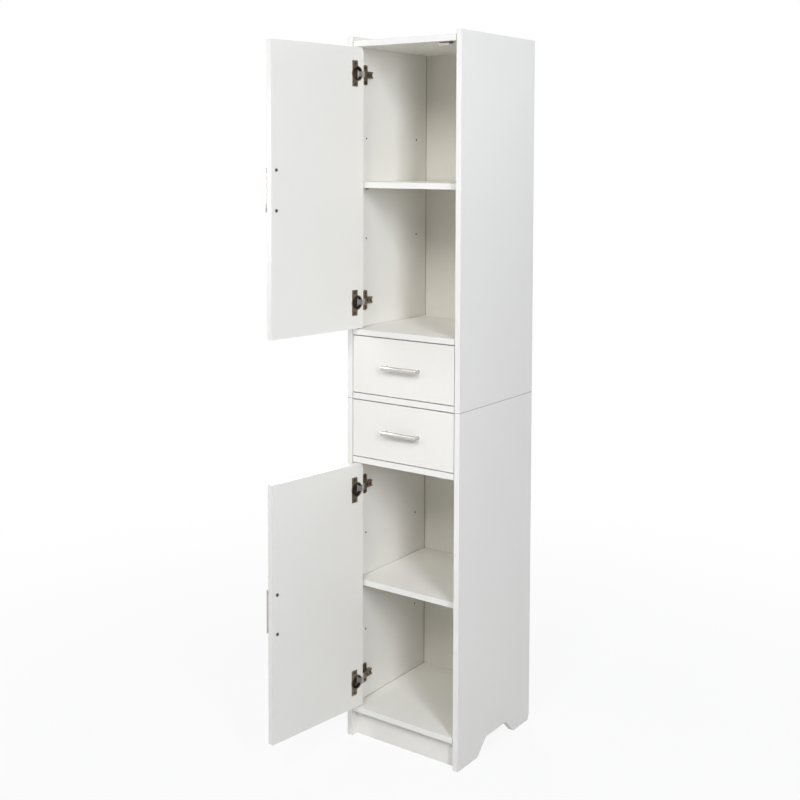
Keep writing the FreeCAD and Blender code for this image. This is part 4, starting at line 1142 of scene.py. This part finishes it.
def white_to_camera(finish, lit, share):
    """Mix a lit shader with a share of plain white, only for rays that show the background."""
    rays = [finish.node("LightPath", output=f"Is {ray} Ray")
            for ray in ("Camera", "Glossy", "Transmission")]
    seen = finish.maths("MINIMUM", rays[0] + rays[1] + rays[2], 1.0)
    white = finish.node("Emission", inputs={"Color": (1, 1, 1, 1), "Strength": 1.0})
    return finish.node("MixShader", inputs={0: seen * share, 1: lit, 2: white})


def make_floor(colour):
    half = FLOOR_HALF
    mesh = bpy.data.meshes.new("floor")
    corners = [(-half, -half, 0), (half, -half, 0), (half, half, 0), (-half, half, 0)]
    mesh.from_pydata(corners, [], [(0, 1, 2, 3)])
    floor = bpy.data.objects.new("floor", mesh)
    bpy.context.scene.collection.objects.link(floor)
    finish = Finish("pale_floor")
    lit = finish.node("BsdfDiffuse", inputs={"Color": opaque(colour)})
    distance = finish.node("VectorMath", {"operation": "LENGTH"}, {0: finish.place()}, 1)
    away = finish.ramp(distance, FLOOR_FADE, FLOOR_WHITE)
    mesh.materials.append(finish.ended(white_to_camera(finish, lit, away)))


def make_lamp(name, azimuth, distance, height, size, watts, colour):
    """A soft box round the cabinet; azimuth is in degrees to the right of the front."""
    lamp = bpy.data.lights.new(name, "AREA")
    lamp.shape = "RECTANGLE"
    lamp.size, lamp.size_y = size
    lamp.energy = watts
    lamp.color = colour
    thing = bpy.data.objects.new(name, lamp)
    angle = math.radians(azimuth)
    place = Vector((distance * math.sin(angle), -distance * math.cos(angle), height))
    thing.location = place
    thing.rotation_euler = (LAMP_AIM - place).to_track_quat("-Z", "Y").to_euler()
    bpy.context.scene.collection.objects.link(thing)


def make_world(strength, colour):
    studio = Finish("studio", bpy.data.worlds)
    light = studio.node("Background", inputs={"Color": opaque(colour), "Strength": strength})
    shown = white_to_camera(studio, light, 1.0)
    bpy.context.scene.world = studio.ended(shown, "OutputWorld")


def make_camera():
    lens = bpy.data.cameras.new("camera")
    lens.lens = CAMERA_LENS
    lens.shift_y = CAMERA_SHIFT
    camera = bpy.data.objects.new("camera", lens)
    camera.matrix_world = (
        Matrix.Translation(CAMERA_PLACE)
        @ Matrix.Rotation(CAMERA_TURN, 4, "Z")
        @ Matrix.Rotation(math.pi / 2 - CAMERA_DIP, 4, "X")
        @ Matrix.Rotation(CAMERA_ROLL, 4, "Z")
    )
    bpy.context.scene.collection.objects.link(camera)
    bpy.context.scene.camera = camera


class CABINET_OT_stage(bpy.types.Operator):
    """Make the pale floor, the lamps, the world and the camera"""

    bl_idname = "cabinet.stage"
    bl_label = "Stage"

    def execute(self, context):
        look = context.scene.cabinet_stage
        make_floor(look.floor)
        for name, azimuth, distance, height, size, colour in LAMPS:
            make_lamp(name, azimuth, distance, height, size, getattr(look, name), colour)
        make_world(look.ambient, look.sky)
        make_camera()
        context.scene.view_settings.view_transform = "Standard"
        return {"FINISHED"}


# ---------------------------------------------------------------------------
# Panel and registration
# ---------------------------------------------------------------------------

STEPS = ("boards", "drawer_boxes", "hinges", "screws", "handles", "shelf_pins", "catches",
         "inner_fittings", "stage")
GROUPS = {
    "cabinet_boards": BoardFinish,
    "cabinet_metals": MetalFinish,
    "cabinet_fittings": FittingFinish,
    "cabinet_sizes": FittingSizes,
    "cabinet_stage": StageSettings,
}


class CABINET_PT_panel(bpy.types.Panel):
    """Sizes, colours and building steps of the cabinet"""

    bl_idname = "CABINET_PT_panel"
    bl_label = "Tall cabinet"
    bl_space_type = "VIEW_3D"
    bl_region_type = "UI"
    bl_category = "Cabinet"

    def draw(self, context):
        for group in GROUPS:
            box = self.layout.box()
            settings = getattr(context.scene, group)
            for name in settings.__annotations__:
                box.prop(settings, name)
        for step in STEPS:
            self.layout.operator(f"cabinet.{step}")


CLASSES = (
    *GROUPS.values(),
    CABINET_OT_boards,
    CABINET_OT_drawer_boxes,
    CABINET_OT_hinges,
    CABINET_OT_screws,
    CABINET_OT_handles,
    CABINET_OT_shelf_pins,
    CABINET_OT_catches,
    CABINET_OT_inner_fittings,
    CABINET_OT_stage,
    CABINET_PT_panel,
)


def register():
    for item in CLASSES:
        bpy.utils.register_class(item)
    for name, group in GROUPS.items():
        setattr(bpy.types.Scene, name, PointerProperty(type=group))


def unregister():
    for name in GROUPS:
        delattr(bpy.types.Scene, name)
    for item in reversed(CLASSES):
        bpy.utils.unregister_class(item)


def main():
    register()
    for step in STEPS:
        getattr(bpy.ops.cabinet, step)()


if __name__ == "__main__":
    main()
